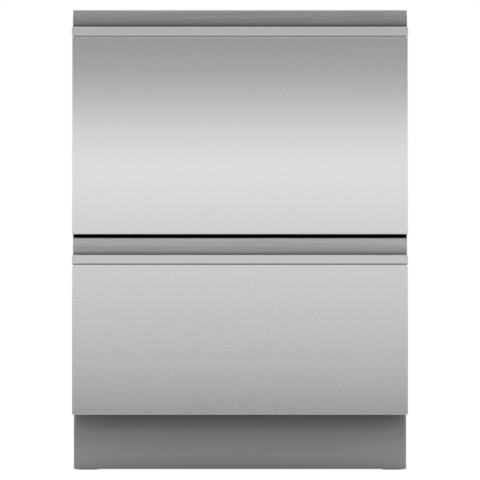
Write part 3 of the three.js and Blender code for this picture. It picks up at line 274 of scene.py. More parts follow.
FRONT_STEEL = brushed_steel("front_steel", 214, 0.27, 0.014)
LIP_STEEL = brushed_steel("lip_steel", 215, 0.4, 0.02)
# painted shade under the fronts and painted light from the floor: (height, tone)
KICK_PAINTED_SHADING = [(0, 0.98), (18, 1.07), (36, 1.0), (53, 0.9), (80, 0.78), (98, 0.95)]
KICK_STEEL = brushed_steel("kick_steel", 186, 0.8, 0.03, KICK_PAINTED_SHADING)
print("steels:", FRONT_STEEL.name, LIP_STEEL.name, KICK_STEEL.name)

# %% [markdown]
# ## Zinc, plastics, rubber and coated wire
#
# Galvanised sheet has spangles, the flat crystals of its zinc, a few millimetres across. Moulded
# plastic has a fine even grain and hardly any gloss. The rack's nylon coat is smooth and a little
# uneven, as it is dipped. Each gets its own scale of pattern.


# %% The other finishes
def galvanised(name, level, spangle):
    """Zinc-coated sheet: cells of slightly different tone and gloss."""
    finish = Finish(name, Metallic=1.0)
    inputs = {"Vector": finish.place((1, 1, 0.7)), "Scale": 150.0, "Randomness": 1.0}
    cells = finish.node("ShaderNodeTexVoronoi", {"feature": "F1"}, inputs, output="Color")
    flake = finish.node("ShaderNodeSeparateColor", inputs={"Color": cells})
    haze = finish.noise(9, 3.0)
    tone = 1 + (flake - 0.5) * spangle + (haze - 0.5) * 0.12
    finish.tint(grey(level), tone)
    finish.vary("Roughness", 0.42 + (flake - 0.5) * 0.16 + (haze - 0.5) * 0.1)
    return finish.material


def moulded(name, level, roughness, grain=0.00004, scale=1400, gloss=0.5):
    """Injection-moulded plastic: an even tone with a spark-eroded grain."""
    finish = Finish(name, Specular_IOR_Level=gloss)
    pores = finish.noise(scale, 2.0)
    cloud = finish.noise(6, 2.0)
    tone = 1 + (cloud - 0.5) * 0.06 + (pores - 0.5) * 0.05
    finish.tint(grey(level), tone)
    finish.vary("Roughness", roughness + (cloud - 0.5) * 0.08)
    finish.bump(pores, grain, 0.4)
    return finish.material


def dipped_wire(name, level):
    """Wire in a dipped nylon coat: soft gloss over slow waves."""
    finish = Finish(name, Roughness=0.38, Specular_IOR_Level=0.5)
    waves = finish.noise(220, 1.0)
    finish.tint(grey(level), 1 + (waves - 0.5) * 0.08)
    finish.bump(waves, 0.0001, 0.3)
    return finish.material


GALVANISED = galvanised("galvanised_sheet", 190, 0.10)
RUNNER_STEEL = galvanised("runner_zinc", 205, 0.03)
BLACK = moulded("black_plastic", 13, 0.5)
RUBBER = moulded("rubber", 26, 0.7, 0.00006, 900)
FRAME_GREY = moulded("frame_plastic", 105, 0.5)
TUB_GREY = moulded("tub_plastic", 218, 0.32, 0.00002, 700)
LID_WHITE = moulded("lid_plastic", 215, 0.4)
DARK = moulded("dark_plastic", 48, 0.45)
BITUMEN = moulded("bitumen", 62, 0.85, 0.0002, 300, gloss=0.2)
COATED = dipped_wire("coated_wire", 172)

# a material slot of the record, and what it looks like
SLOT_FINISH = {
    "stainless_front": FRONT_STEEL,
    "galvanised": GALVANISED,
    "runner_steel": RUNNER_STEEL,
    "black_plastic": BLACK,
    "rubber": RUBBER,
    "grey_plastic": FRAME_GREY,
    "tub_plastic": TUB_GREY,
    "white_plastic": LID_WHITE,
    "coated_wire": COATED,
    "dark_plastic": DARK,
}
for row in frame["record"]["subparts"]:
    holder = NODES[row["node"]]
    holder.data.materials.clear()
    holder.data.materials.append(SLOT_FINISH[row["material_slot"]])
NODES["toe_kick"].data.materials[0] = KICK_STEEL
# the crossbar is black, and its colour is darker still as painted shade in the gap between the
# drawers
NODES["mid_crossbar"].data.materials[0] = moulded("black_and_painted_gap_shade", 5, 0.9, gloss=0.04)
print("finishes:", len(bpy.data.materials))

# %% [markdown]
# ## Meshes from arrays
#
# Every new piece is a grid: rows of points, each row one cross-section. Whole arrays give the
# points, so there is no loop over vertices, and one function joins neighbouring rows with quads.
# A row that closes on itself is a ring; a grid may end in caps.


# %% Grid helpers
def make(name, points, faces, finish, body, replaces=(), angle=32.0, slot=None):
    """A mesh object from points in millimetres and faces, smooth below an angle, riding a body.

    The slot argument is not used.
    """
    mesh = bpy.data.meshes.new(name)
    mesh.from_pydata((np.asarray(points, float).reshape(-1, 3) * MM).tolist(), [], faces)
    mesh.validate()
    mesh.shade_smooth()
    mesh.set_sharp_from_angle(angle=np.radians(angle))
    mesh.materials.append(finish)
    piece = bpy.data.objects.new(name, mesh)
    bpy.context.scene.collection.objects.link(piece)
    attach(piece, body)
    if replaces:
        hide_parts(*replaces)
    return piece


def circle(count):
    """Points evenly round the unit circle: (count, 2)."""
    turn = np.arange(count) * 2 * np.pi / count
    return np.stack([np.cos(turn), np.sin(turn)], -1)


def skin(rows, closed_rows=False):
    """The faces of a stack of rings, (rings, points, 3): quads between neighbours, numbered row by
    row, and a cap on the first ring and the last, unless the last row joins the first."""
    count, size = rows.shape[:2]
    r, c = np.meshgrid(np.arange(count - (not closed_rows)), np.arange(size), indexing="ij")
    r1, c1 = (r + 1) % count, (c + 1) % size
    corners = [r * size + c, r * size + c1, r1 * size + c1, r1 * size + c]
    faces = np.stack(corners, -1).reshape(-1, 4).tolist()
    if not closed_rows:
        faces += [list(range(size))[::-1], list(range((count - 1) * size, count * size))]
    return faces


def outward(points, faces):
    """The faces, all turned round when the solid they close has a negative volume."""
    p = np.asarray(points, float).reshape(-1, 3)
    volume = 0.0
    for size in {len(f) for f in faces}:
        f = np.array([g for g in faces if len(g) == size])
        a = p[f[:, 0]]
        for k in range(1, size - 1):
            volume += np.einsum("ij,ij->i", a, np.cross(p[f[:, k]], p[f[:, k + 1]])).sum()
    return faces if volume > 0 else [list(f)[::-1] for f in faces]


def shell(name, rows, finish, body, **more):
    """A closed piece from a stack of rings, with its faces pointing outwards."""
    return make(name, rows, outward(rows, skin(rows)), finish, body, **more)


def rounded_ring(half_x, half_y, radius, steps=8):
    """Points round a rounded rectangle about the origin, anticlockwise: (points, 2)."""
    turn = np.linspace(0, np.pi / 2, steps + 1)
    arc = np.stack([np.cos(turn), np.sin(turn)], -1) * radius
    out = []
    for quarter, (sx, sy) in enumerate([(1, 1), (-1, 1), (-1, -1), (1, -1)]):
        c, s = np.cos(quarter * np.pi / 2), np.sin(quarter * np.pi / 2)
        turned = arc @ np.array([[c, s], [-s, c]])
        out.append(turned + [sx * (half_x - radius), sy * (half_y - radius)])
    return np.concatenate(out)


def ring_stack(half, corner, middle, section, steps):
    """Rounded rectangles one above the other: section holds (inset, height) pairs."""
    rings = []
    for inset, z in section:
        ring = rounded_ring(*(half - inset), corner - inset, steps) + middle
        rings.append(np.insert(ring, 2, z, axis=1))
    return np.stack(rings)


print("helpers for rings ready")

# %% [markdown]
# ## Lines with round bends
#
# Sheet metal and wire are both bent over a round tool, so a few corners and one radius describe
# them. Each inner corner becomes an arc that touches both of its sides. A sheet's section is such
# a line and the same line moved sideways by the sheet's thickness.

# %% Lines with round bends
def fillet(points, radius, steps=6, margin=0.0):
    """A polyline (n, 2) whose inner corners are arcs of a radius, tangent to both sides.

    margin adds a point that far beyond each end of an arc: a long flat side that met the arc
    itself would take a share of its tilt, and shade as if it were bent.
    """
    p = np.asarray(points, float)
    out = [p[:1]]
    for before, at, after in zip(p[:-2], p[1:-1], p[2:]):
        a, b = before - at, after - at
        la, lb = np.linalg.norm(a), np.linalg.norm(b)
        a, b = a / la, b / lb
        half = np.arccos(np.clip(a @ b, -1, 1)) / 2
        reach = min(radius / np.tan(half), la * 0.48, lb * 0.48)
        r = reach * np.tan(half)
        centre = at + (a + b) / np.linalg.norm(a + b) * (r / np.sin(half))
        start, end = at + a * reach - centre, at + b * reach - centre
        sweep = np.arctan2(start[0] * end[1] - start[1] * end[0], start @ end)
        turn = np.linspace(0, sweep, steps + 1)[:, None]
        normal = np.array([-start[1], start[0]])
        arc = centre + start * np.cos(turn) + normal * np.sin(turn)
        if margin:
            flat_a, flat_b = min(margin, la / 2 - reach), min(margin, lb / 2 - reach)
            arc = np.stack([at + a * (reach + flat_a), *arc, at + b * (reach + flat_b)])
        out.append(arc)
    out.append(p[-1:])
    return np.concatenate(out)


def offset(line, distance):
    """The same polyline moved sideways by a distance, to the left of its direction."""
    step = np.gradient(line, axis=0)
    step /= np.linalg.norm(step, axis=1, keepdims=True)
    return line + np.stack([-step[:, 1], step[:, 0]], -1) * distance


def folded_sheet(name, line, thickness, half, finish, body, **more):
    """Sheet metal folded along X, half its length each way.

    line holds (y, z), and the metal lies on the right side of it.
    """
    outline = np.concatenate([line, offset(line, -thickness)[::-1]])
    rows = np.stack([np.insert(outline, 0, x, axis=1) for x in (-half, half)])
    return shell(name, rows, finish, body, **more)


print("helpers for bent lines ready")

# %% [markdown]
# ## The drawer fronts
#
# Each front is a stainless panel folded back at all four edges over a plastic frame. A cube would
# show a hard edge; the real fold has a radius that catches a thin line of light. Rings of a
# rounded rectangle do it: the first ring bounds the flat face, the next ones roll over the edge,
# run back along the return and come forward again inside, so the sheet has its real thickness.
# One ring more lies flat inside the first: a face that met the roll itself would take a share of
# its tilt at the corners, and the whole panel would shade as if it were bent.

# %% Front panels
EDGE_RADIUS = 1.5
SHEET = 1.2  # the metal of the fronts and of the cabinet
CORNER = 2.4
TOP_RETURN = 5.6  # beside and above the handle's trough the fold is short
NOTCH = 0.4  # the height over which the side folds step back below the trough
MARGIN = 0.3  # the flat strip between the face and the roll


def front_panel(drawer):
    """Rings of a rounded rectangle: inset from the outline, depth behind the face.

    A depth is a fixed part plus a share of the return's own depth, which steps back at the
    height of the handle's trough: two points more on each side of a ring make that step.
    """
    node = f"{drawer}_front_panel"
    low, high = node_box(node)
    step = node_box(f"{drawer}_handle")[0][2] - NOTCH - (low[2] + high[2]) / 2
    half_x, half_z = (high[0] - low[0]) / 2, (high[2] - low[2]) / 2
    roll = np.linspace(0, np.pi / 2, 7)
    over = EDGE_RADIUS * (1 - np.sin(roll)), EDGE_RADIUS * (1 - np.cos(roll))
    inset = [EDGE_RADIUS + MARGIN, *over[0], 0, 0.2, SHEET - 0.2, SHEET, SHEET, SHEET + EDGE_RADIUS]
    fixed = [0, *over[1], -0.3, 0, 0, -0.3, EDGE_RADIUS + SHEET, SHEET]
    share = [*np.zeros(1 + len(roll)), 1, 1, 1, 1, 0, 0]
    rings = []
    for amount, start, turned in zip(inset, fixed, share):
        side = half_x - amount
        ring = rounded_ring(side, half_z - amount, max(CORNER - amount, 0.4))
        half = len(ring) // 2
        notch = np.array([[-side, step], [-side, step - NOTCH]])
        ring = np.concatenate([ring[:half], notch, ring[half:], notch[::-1] * [-1, 1]])
        reach = np.where(ring[:, 1] > step - NOTCH / 2, TOP_RETURN, high[1] - low[1])
        rings.append(np.stack([ring[:, 0], low[1] + start + turned * reach, ring[:, 1]], -1))
    rows = np.stack(rings) + [0, 0, (low[2] + high[2]) / 2]
    return shell(f"{drawer}_panel_skin", rows, FRONT_STEEL, f"{drawer}_drawer", replaces=[node])


for drawer in DRAWERS:
    made = front_panel(drawer)
    print(made.name, len(made.data.polygons), "faces")

# %% [markdown]
# ## The recessed handles
#
# A handle is one folded sheet: a lip that stands flush with the front, a trough behind it for the
# fingers and a back plate that rises to the top. Its section is a line with every bend rounded,
# given a thickness and carried along X. The back plate and the trough are a little narrower than
# the lip, so the section is made in two widths, with a cheek that closes each end of the trough.

# %% Handles
LIP_TOP = 31.0  # below the top of the handle
LIP_FACE = 16.0
LIP_THICK = 7.0
LIP_LEAN = 0.7
RECESS = 27.0
TROUGH = 26.0
BEND = 2.2
LIP_BEND = 1.2
BACK_INSET = 1.8
CHEEK_INSET = 3.0
FRONT_DEPTH = 33.0
# painted shade, deepest in the trough behind the lip: (height above the lip, tone)
TROUGH_PAINTED_SHADE = [(-26, 0.2), (0, 0.3), (3.5, 0.46), (8, 0.64), (12.5, 0.67), (18, 0.78), (31, 0.86)]


def handle(drawer):
    """The lip is one line with round bends, the trough and back plate another, each given the
    sheet's thickness; a flat cheek closes each end of the trough."""
    node, body = f"{drawer}_handle", f"{drawer}_drawer"
    low, high = node_box(node)
    front, top, half = low[1] - 0.1, high[2], (high[0] - low[0]) / 2
    lip, behind, back = top - LIP_TOP, front + LIP_THICK, front + RECESS
    lip_line = [
        [behind - 2 * SHEET, lip - LIP_FACE],
        [front + LIP_LEAN, lip - LIP_FACE],
        [front, lip],
        [behind, lip],
        [behind + 1.1, lip - LIP_FACE + 1],
    ]
    trough_line = [
        [behind + 1.2, lip - LIP_FACE + 0.8],
        [behind + 2, lip - TROUGH],
        [back, lip - TROUGH],
        [back, top],
        [front + FRONT_DEPTH, top],
    ]
    cheek = [
        [behind + 0.2, lip - 1.5],
        [behind + 2.2, lip - TROUGH + 0.3],
        [back - 0.3, lip - TROUGH + 0.3],
        [back - 0.3, lip - 1.5],
    ]
    # the trough's steel carries painted shade, darker towards the lip and the trough
    shade = [(lip + height, painted_tone) for height, painted_tone in TROUGH_PAINTED_SHADE]
    steel = brushed_steel(f"{drawer}_trough_steel", 200, 0.42, 0.25, shade)
    more = {"slot": "stainless_front", "angle": 40}
    line = fillet(lip_line, LIP_BEND, margin=MARGIN)
    folded_sheet(f"{node}_lip", line, SHEET, half, LIP_STEEL, body, replaces=[node], **more)
    line = fillet(trough_line, BEND, margin=MARGIN)
    folded_sheet(f"{node}_back", line, SHEET, half - BACK_INSET, steel, body, **more)
    for side, way in SIDES:
        outer = way * (half - CHEEK_INSET)
        rows = np.stack([np.insert(cheek, 0, x, axis=1) for x in (outer - way * SHEET, outer)])
        shell(f"{node}_cheek_{side}", rows, steel, body, **more)


for drawer in DRAWERS:
    handle(drawer)
print("handles: trough", TROUGH, "mm deep behind a lip", LIP_FACE, "mm high")

# %% [markdown]
# ## The wire racks
#
# A rack is welded from steel wire and dipped in nylon. In the real factory the base wires are bent
# to a U and laid across each other, then hoops go round them. The script does the same: a path of
# points, rounded at its bends, with a circle carried along it. A curve object with a bevel could
# do it too, but a mesh keeps all the wires of a rack together and lets the welds overlap.


# %% Wires
class Bundle:
    """Many closed solids gathered into one mesh."""

    def __init__(self):
        self.points, self.faces, self.count = [], [], 0

    def add(self, points, faces):
        """One more solid, its points numbered on from those before."""
        points = np.asarray(points, float).reshape(-1, 3)
        self.faces += [[i + self.count for i in face] for face in outward(points, faces)]
        self.points.append(points)
        self.count += len(points)

    def rows(self, rows, closed_rows=False):
        """The skin of a stack of rings."""
        self.add(rows, skin(rows, closed_rows))

    def wire(self, path, radius, across, sides=8, closed=False):
        """A round wire along a flat path; across is the direction square to the path's plane."""
        path = np.asarray(path, float)
        if closed:
            step = np.roll(path, -1, axis=0) - np.roll(path, 1, axis=0)
        else:
            step = np.gradient(path, axis=0)
        step /= np.linalg.norm(step, axis=1, keepdims=True)
        side = np.cross(step, across)[:, None]
        ring = circle(sides)[None]
        ring = ring[..., :1] * np.asarray(across, float) + ring[..., 1:] * side
        self.rows(path[:, None] + radius * ring, closed_rows=closed)

    def turned(self, profile, centre, sides=16, axis=2):
        """A lathe: profile of (radius, height) pairs from the axis and back to it."""
        profile = np.asarray(profile, float)
        ring = np.insert(circle(sides), 2, 0, axis=1)
        rows = profile[:, :1, None] * ring + profile[:, 1:, None] * [0, 0, 1]
        self.rows(np.roll(rows, axis + 1, axis=-1) + centre)

    def block(self, corner, opposite, radius=0.8):
        """A box between two corners, with its four upright edges and its two rims rounded."""
        low, high = np.minimum(corner, opposite), np.maximum(corner, opposite)
        half = (high - low) / 2
        radius = min(radius, half.min() * 0.6)
        inset = radius * np.array([1, 0.3, 0, 0, 0.3, 1])
        level = np.array([0, 0.3 * radius, radius, -radius, -0.3 * radius, 0])
        level += np.array([low[2]] * 3 + [high[2]] * 3)
        rings = [rounded_ring(half[0] - i, half[1] - i, radius, 3) for i in inset]
        middle = (low[:2] + high[:2]) / 2
        self.rows(np.stack([np.insert(r + middle, 2, z, axis=1) for r, z in zip(rings, level)]))

    def make(self, name, finish, body, **more):
        """One object of all that was gathered."""
        return make(name, np.concatenate(self.points), self.faces, finish, body, **more)


print("a bundle gathers wires, lathes and blocks into one mesh")

# %% Racks
TUB_MIDDLE = -11.5  # the tubs' middle lies this far in front of the origin
RACK_HALF = np.array([245.0, 203.0])  # half sizes of the rim
RACK_TAPER = 10.0
RACK_CORNER = 30.0
BASE_BEND = 16.0
RACK_LIFT = 40.0  # the base above the tub's floor
RACK_FOOT = 4.0
WIRE = 1.6
RIM_WIRE = 2.4
ROD = 1.9
COMB_X = (18.0, 178.0)  # the folding comb's rod
COMB_Y = 2.5
COMB_LIFT = 6.2
SHELF_X = (-229.0, -141.0)  # the cup shelf's frame
SHELF_Y = (-136.5, 113.5)
SHELF_LIFT = 76.0
SHELF_DIP = 4.6
TINE = 62.0
TINE_X = (-205.0, -30.0)  # the fixed tines, beside the folding comb
TINE_LEAN = 4.0
HOOPS = (0.16, WIRE), (0.55, WIRE), (1.0, RIM_WIRE)  # share of the height, wire
CROSS_Y = np.linspace(-184.5, 161.5, 13)  # where the base wires lie
LONG_X = np.linspace(-211, 211, 9)
SUMP_DEPTH = 20.0  # the sump's underside below the tub's floor
FLOOR = {drawer: node_box(f"{drawer}_tub")[0][2] + SUMP_DEPTH for drawer in DRAWERS}
BASE = {drawer: FLOOR[drawer] + RACK_LIFT for drawer in DRAWERS}
HEIGHT = {drawer: node_box(f"{drawer}_rack")[1][2] - BASE[drawer] - 2 for drawer in DRAWERS}


def wire_rack(drawer):
    """Wires carried along bent lines both ways, three hoops, rows of fixed tines, turned feet."""
    base, height = BASE[drawer], HEIGHT[drawer]
    rack = Bundle()
    for half, places, axis in ((RACK_HALF[0], CROSS_Y, 0), (RACK_HALF[1], LONG_X, 1)):
        low = half - RACK_TAPER
        bent = fillet([[-half, height], [-low, 0], [low, 0], [half, height]], BASE_BEND, 5)
        # the wires one way pass under those the other way, and rise to the rim beside them
        drop = 2 * WIRE * 0.85 * axis * (1 - bent[:, 1] / height)
        for place in places:
            path = np.zeros((len(bent), 3))
            path[:, axis] = bent[:, 0] + axis * TUB_MIDDLE
            path[:, 1 - axis] = place
            path[:, 2] = base + bent[:, 1] - drop
            rack.wire(path, WIRE, np.eye(3)[1 - axis])
    for share, radius in HOOPS:
        half = RACK_HALF - RACK_TAPER * (1 - share) - (WIRE if share < 1 else 0)
        hoop = rounded_ring(*half, RACK_CORNER, 6) + [0, TUB_MIDDLE]
        hoop = np.insert(hoop, 2, base + share * height, axis=1)
        rack.wire(hoop, radius, (0, 0, 1), closed=True)
    for y in CROSS_Y[2:10:2]:
        for x in np.linspace(*TINE_X, 8):
            tip = y + TINE_LEAN
            tine = [[x, y, base], [x, tip, base + TINE - 4], [x, tip + 0.3, base + TINE]]
            rack.wire(tine, WIRE, (1, 0, 0))
    low, r = FLOOR[drawer] + 0.3, RACK_FOOT
    foot = [[0, low], [r - 0.8, low], [r, low + 1], [r, base - 2], [r - 1, base + 1], [0, base + 1]]
    for x in LONG_X[[0, -1]]:
        for y in CROSS_Y[[2, -3]]:
            rack.turned(foot, (x, y, 0))
    name, body = f"{drawer}_rack_wires", f"{drawer}_drawer"
    rack.make(name, COATED, body, replaces=[f"{drawer}_rack"], angle=50)


for drawer in DRAWERS:
    wire_rack(drawer)
    print(drawer, "rack height", round(float(HEIGHT[drawer]), 1), "mm")

# %% [markdown]
# ## The racks' clips
#
# What folds is held by moulded clips pushed onto the wires. Each is a pair of blocks with a gap
# for the rod between them, which a cut through one block would give as well, but blocks need no
# cut and keep every edge rounded.

# %% Rack clips
CLIP_GAP = 2.2  # half the gap for the rod
CLIP_HALF = 5.0


def rack_clips(drawer):
    """Pairs of blocks with a gap between them, which hold the comb's rod and the cup shelf."""
    base = BASE[drawer]
    clips = Bundle()
    z = base + COMB_LIFT
    for x in (COMB_X[0] + 9, COMB_X[1] - 9):
        for way in (-1, 1):
            near, far = COMB_Y + way * CLIP_GAP, COMB_Y + way * CLIP_HALF
            clips.block((x - 3, near, base - 5), (x + 3, far, z + 4.5))
        clips.block((x - 3, COMB_Y - 16, base - 5), (x + 3, COMB_Y + 4.9, z - 2.4))
    z = base + SHELF_LIFT
    for y in (SHELF_Y[0] + 9, SHELF_Y[1] - 9):
        post = CROSS_Y[np.abs(CROSS_Y - y).argmin()]
        clips.block((-246, min(post, y) - 4, z - 5), (-232.5, max(post, y) + 4, z + 5))
        for way in (-1, 1):
            clips.block((-236, y - 4, z + way * CLIP_GAP), (-225, y + 4, z + way * CLIP_HALF))
    clips.make(f"{drawer}_rack_clips", FRAME_GREY, f"{drawer}_drawer", slot="coated_wire")


for drawer in DRAWERS:
    rack_clips(drawer)
print("clips made for the combs and the shelves")

# %% [markdown]
# ## What folds in the racks
#
# The comb of tines turns on its rod and lies down for a large pot; the cup shelf hinges up along
# the side. Each rides its own body, so its wires stay a mesh of their own.


# %% Folding tines and cup shelves
def folding_tines(drawer):
    """A rod, with tines up from it at even steps."""
    z = BASE[drawer] + COMB_LIFT
    comb = Bundle()
    comb.wire([[COMB_X[0], COMB_Y, z], [COMB_X[1], COMB_Y, z]], ROD, (0, 0, 1))
    for x in np.linspace(COMB_X[0] + 18, COMB_X[1] - 18, 8):
        tip = COMB_Y + TINE_LEAN
        path = [[x, COMB_Y, z], [x, tip - 0.1, z + TINE - 4], [x, tip, z + TINE - 1.5]]
        comb.wire(path, WIRE, (1, 0, 0))
    node = f"{drawer}_folding_tines"
    comb.make(f"{drawer}_comb", COATED, node, replaces=[node], angle=50)


def cup_shelf(drawer):
    """A frame with two cut corners, and wires across it that dip to hold the cups."""
    z = BASE[drawer] + SHELF_LIFT
    shelf = Bundle()
    (x0, x1), (y0, y1) = SHELF_X, SHELF_Y
    half = [[x0, y1 - 4], [x0, y1], [x1 - 8, y1], [x1 - 2.3, y1 - 2.3], [x1, y1 - 8]]
    other = [[x, y0 + y1 - y] for x, y in half[::-1]]
    shelf.wire(np.insert(half + other, 2, z, axis=1), ROD, (0, 0, 1), closed=True)
    dip = fillet([[x0, 0], [x0 + 26, -SHELF_DIP], [x1 - 26, -SHELF_DIP], [x1, 0]], 14, 4)
    for y in np.linspace(y0 + 20, y1 - 20, 11):
        path = np.stack([dip[:, 0], np.full(len(dip), y), z + dip[:, 1]], -1)
        shelf.wire(path, 1.5, (0, 1, 0))
    node = f"{drawer}_cup_shelf"
    shelf.make(f"{drawer}_shelf", COATED, node, replaces=[node], angle=50)


for drawer in DRAWERS:
    folding_tines(drawer)
    cup_shelf(drawer)
print("folding pieces: a comb and a shelf in each rack")

# %% [markdown]
# ## The tubs
#
# A wash tub is moulded in one shot: a drafted box with a deep corner radius, a rim to seal on and
# a round sump. A rounded rectangle cannot flow into a circle unless both have their points in the
# same directions, so every ring is found by sending rays out from the middle in one set of
# bearings. The rings run up the outside, over the rim, down the inside and into the sump.


# %% Rings by bearing
MOUTH = np.array([262.0, 225.0])
TUB_CORNER = 42.0
TUB_WALL = 3.0
DRAFT = 9.0
SUMP_Y = 6.5
SUMP_RADIUS = 92.0
RIM = {drawer: node_box(f"{drawer}_tub")[1][2] for drawer in DRAWERS}
sides = np.stack([np.linspace(-205, 205, 11), np.full(11, MOUTH[1])], -1)
ends = np.stack([np.full(9, MOUTH[0]), np.linspace(-165, 165, 9)], -1)
window = np.array([[-43.5, -MOUTH[1]], [-1.5, -MOUTH[1]]])
outline = np.concatenate([rounded_ring(*MOUTH, TUB_CORNER, 9), sides, -sides, ends, -ends, window])
BEARINGS = np.unique(np.round(np.arctan2(outline[:, 1], outline[:, 0]), 5))
COMPASS = np.stack([np.cos(BEARINGS), np.sin(BEARINGS)], -1)


def level_ring(half, radius, z):
    """A rounded rectangle at a height, with one point on each bearing."""
    reach = np.min(np.asarray(half) / np.maximum(np.abs(COMPASS), 1e-9), axis=1)
    centre = np.asarray(half) - radius
    along = np.abs(COMPASS) @ centre
    inside = np.maximum(along**2 - centre @ centre + radius**2, 0)
    corner = np.all(np.abs(COMPASS) * reach[:, None] > centre, axis=1)
    reach = np.where(corner, along + np.sqrt(inside), reach)
    return np.insert(COMPASS * reach[:, None] + [0, TUB_MIDDLE], 2, z, axis=1)


def round_level(radius, z):
    """A circle round the sump's middle, with one point on each bearing."""
    return np.insert(COMPASS * radius + [0, SUMP_Y], 2, z, axis=1)


print("bearings:", len(BEARINGS))

# %% Tub shells
CUP_LOW, CUP_HIGH = -88.0, -26.0  # the dispenser, from the rim
CUP_FACE = -228.5
CUP_HALF = 48.0
FOOT_RADIUS = 14.0
# the rim's section: (outwards from the mouth, up from the rim)
FLANGE = [(0, -4.6), (0.6, -4), (6.6, -4), (7, -3.6), (7, -1), (6.6, -0.3), (5.8, 0), (-2, 0),
          (-2.8, -0.4)]


def tub_levels(drawer, inset, low):
    """Rings up a wall: a rounded foot, then the drafted wall to below the rim."""
    rim, floor = RIM[drawer], FLOOR[drawer]
    turn = np.linspace(0, np.pi / 2, 6)
    wall = [rim + CUP_LOW + 6, rim + CUP_HIGH - 6, rim - 9]
    levels = np.concatenate([low + FOOT_RADIUS * (1 - np.cos(turn)), wall])
    more = np.concatenate([FOOT_RADIUS * (1 - np.sin(turn)), [0, 0, 0]])
    draft = DRAFT * (rim - levels) / (rim - floor)
    return [
        level_ring(MOUTH - inset - m - d, max(TUB_CORNER - inset - m, 12), z)
        for z, m, d in zip(levels, more, draft)
    ]


def tub(drawer):
    """Rings by bearing: the sump's outside, the wall, the rim, the wall's inside and the sump.

    The faces between two bearings and two levels are left out, for the dispenser's window.
    """
    rim, floor = RIM[drawer], FLOOR[drawer]
    wide = SUMP_RADIUS + TUB_WALL
    bowl = (wide - 4, -SUMP_DEPTH), (wide, 2 - SUMP_DEPTH), (wide, -TUB_WALL)
    outside = [round_level(r, floor + z) for r, z in bowl]
    outside += tub_levels(drawer, 0, floor - TUB_WALL)
    rolled = [level_ring(MOUTH + out, TUB_CORNER + out, rim + z) for out, z in FLANGE]
    inside = tub_levels(drawer, TUB_WALL, floor)[::-1]
    well = (4, 0), (1, -0.8), (0, -2.5), (0, 5 - SUMP_DEPTH), (-2, TUB_WALL - SUMP_DEPTH)
    inside += [round_level(SUMP_RADIUS + out, floor + z) for out, z in well]
    rows = np.stack(outside + rolled + inside)
    count = rows.shape[1]
    left, right = np.searchsorted(BEARINGS, np.round(np.arctan2(window[:, 1], window[:, 0]), 5))
    bands = len(outside) - 3, len(outside) + len(rolled) + 1
    dropped = {band * count + column for band in bands for column in range(left, right)}
    faces = [face for index, face in enumerate(skin(rows)) if index not in dropped]
    name, body = f"{drawer}_tub_shell", f"{drawer}_drawer"
    faces = outward(rows, faces)
    return make(name, rows, faces, TUB_GREY, body, replaces=[f"{drawer}_tub"], angle=40)


for drawer in DRAWERS:
    made = tub(drawer)
    print(made.name, len(made.data.polygons), "faces")

# %% [markdown]
# ## What is fixed to the tub
#
# On a real tub the detergent dispenser is clipped into a hole of the front wall, and its cover
# slides aside. Outside, each side wall has two ledges with ribs between them that carry the
# runner, and two pads in front for the screws of the drawer front. All of it is moulded, so small
# rounded blocks do, and a plate with one cell left out makes the opening.

# %% A plate with openings
def pierced(front, back, keep, closed=False):
    """Points and faces of a plate with cells left out: front and back are grids of points.

    A kept cell gets its two faces, and a wall on each side whose neighbour isn't kept.
    """
    size = front.shape[0] * front.shape[1]
    index = np.arange(size).reshape(front.shape[:2])
    i, j = np.nonzero(keep)
    i1 = (i + 1) % front.shape[0]
    a, b, c, d = index[i, j], index[i1, j], index[i1, j + 1], index[i, j + 1]
    faces = [np.stack([a, b, c, d], -1), np.stack([d, c, b, a], -1) + size]
    for axis, shift, first, last in ((0, 1, a, d), (0, -1, c, b), (1, 1, b, a), (1, -1, d, c)):
        beside = np.roll(keep, shift, axis=axis)
        if not (closed and axis == 0):
            edge = 0 if shift == 1 else -1
            beside = beside.copy()
            np.moveaxis(beside, axis, 0)[edge] = False
        bare = ~beside[i, j]
        f, l = first[bare], last[bare]
        faces.append(np.stack([f, l, l + size, f + size], -1))
    points = np.concatenate([front.reshape(-1, 3), back.reshape(-1, 3)])
    return points, np.concatenate(faces).tolist()


print("a plate with openings is a grid with cells left out")

# %% Dispensers, rails and landing pads
RAIL_LIFT = 44.0  # the runner's middle above the tub's floor
RAIL_HALF = 20.0
RAIL_X = (252.0, 280.2)
RAIL_Y = (-230.5, 207.5)
LEDGE = 3.5


def dispenser(drawer):
    """A pierced face, the chamber behind it, a frame in two steps, and the cover's own grip."""
    low, high = RIM[drawer] + CUP_LOW, RIM[drawer] + CUP_HIGH
    cup = Bundle()
    columns, levels = [-CUP_HALF, -43, -2, CUP_HALF], [low, low + 7, high - 7, high]
    x, z = np.meshgrid(columns, levels, indexing="ij")
    face = np.stack([x, np.full_like(x, CUP_FACE), z], -1)
    keep = np.ones((3, 3), bool)
    keep[1, 1] = False
    cup.add(*pierced(face, face - [0, 6, 0], keep))
    middle = [-22.5, 0, (low + high) / 2]
    section = (21.7, 24.2, -243.4), (21.7, 24.2, -233), (20.5, 24, CUP_FACE), (20.5, 24, -241.5)
    rings = [np.insert(rounded_ring(a, b, 3, 4), 1, y, axis=1) + middle for a, b, y in section]
    cup.rows(np.stack(rings))
    for edge, way in ((low, 1), (high, -1)):
        for depth, reach in ((0, 4), (3.6, 6)):
            corner = -CUP_HALF, CUP_FACE - 1 + depth, edge
            cup.block(corner, (CUP_HALF, CUP_FACE + 6, edge + way * reach), 0.5)
    cup.make(f"{drawer}_dispenser", FRAME_GREY, f"{drawer}_drawer", angle=40)
    cover = Bundle()
    cover.block((-46, -228.2, low + 4.3), (1, -225.2, high - 4.3))
    for x, width in ((-11, 6), (-18, 2), (-25, 2)):
        cover.block((x, -225.6, low + 14), (x + width, -222.6, high - 14), 0.9)
    node = f"{drawer}_detergent_cover"
    cover.make(f"{drawer}_cover", FRAME_GREY, node, replaces=[node])


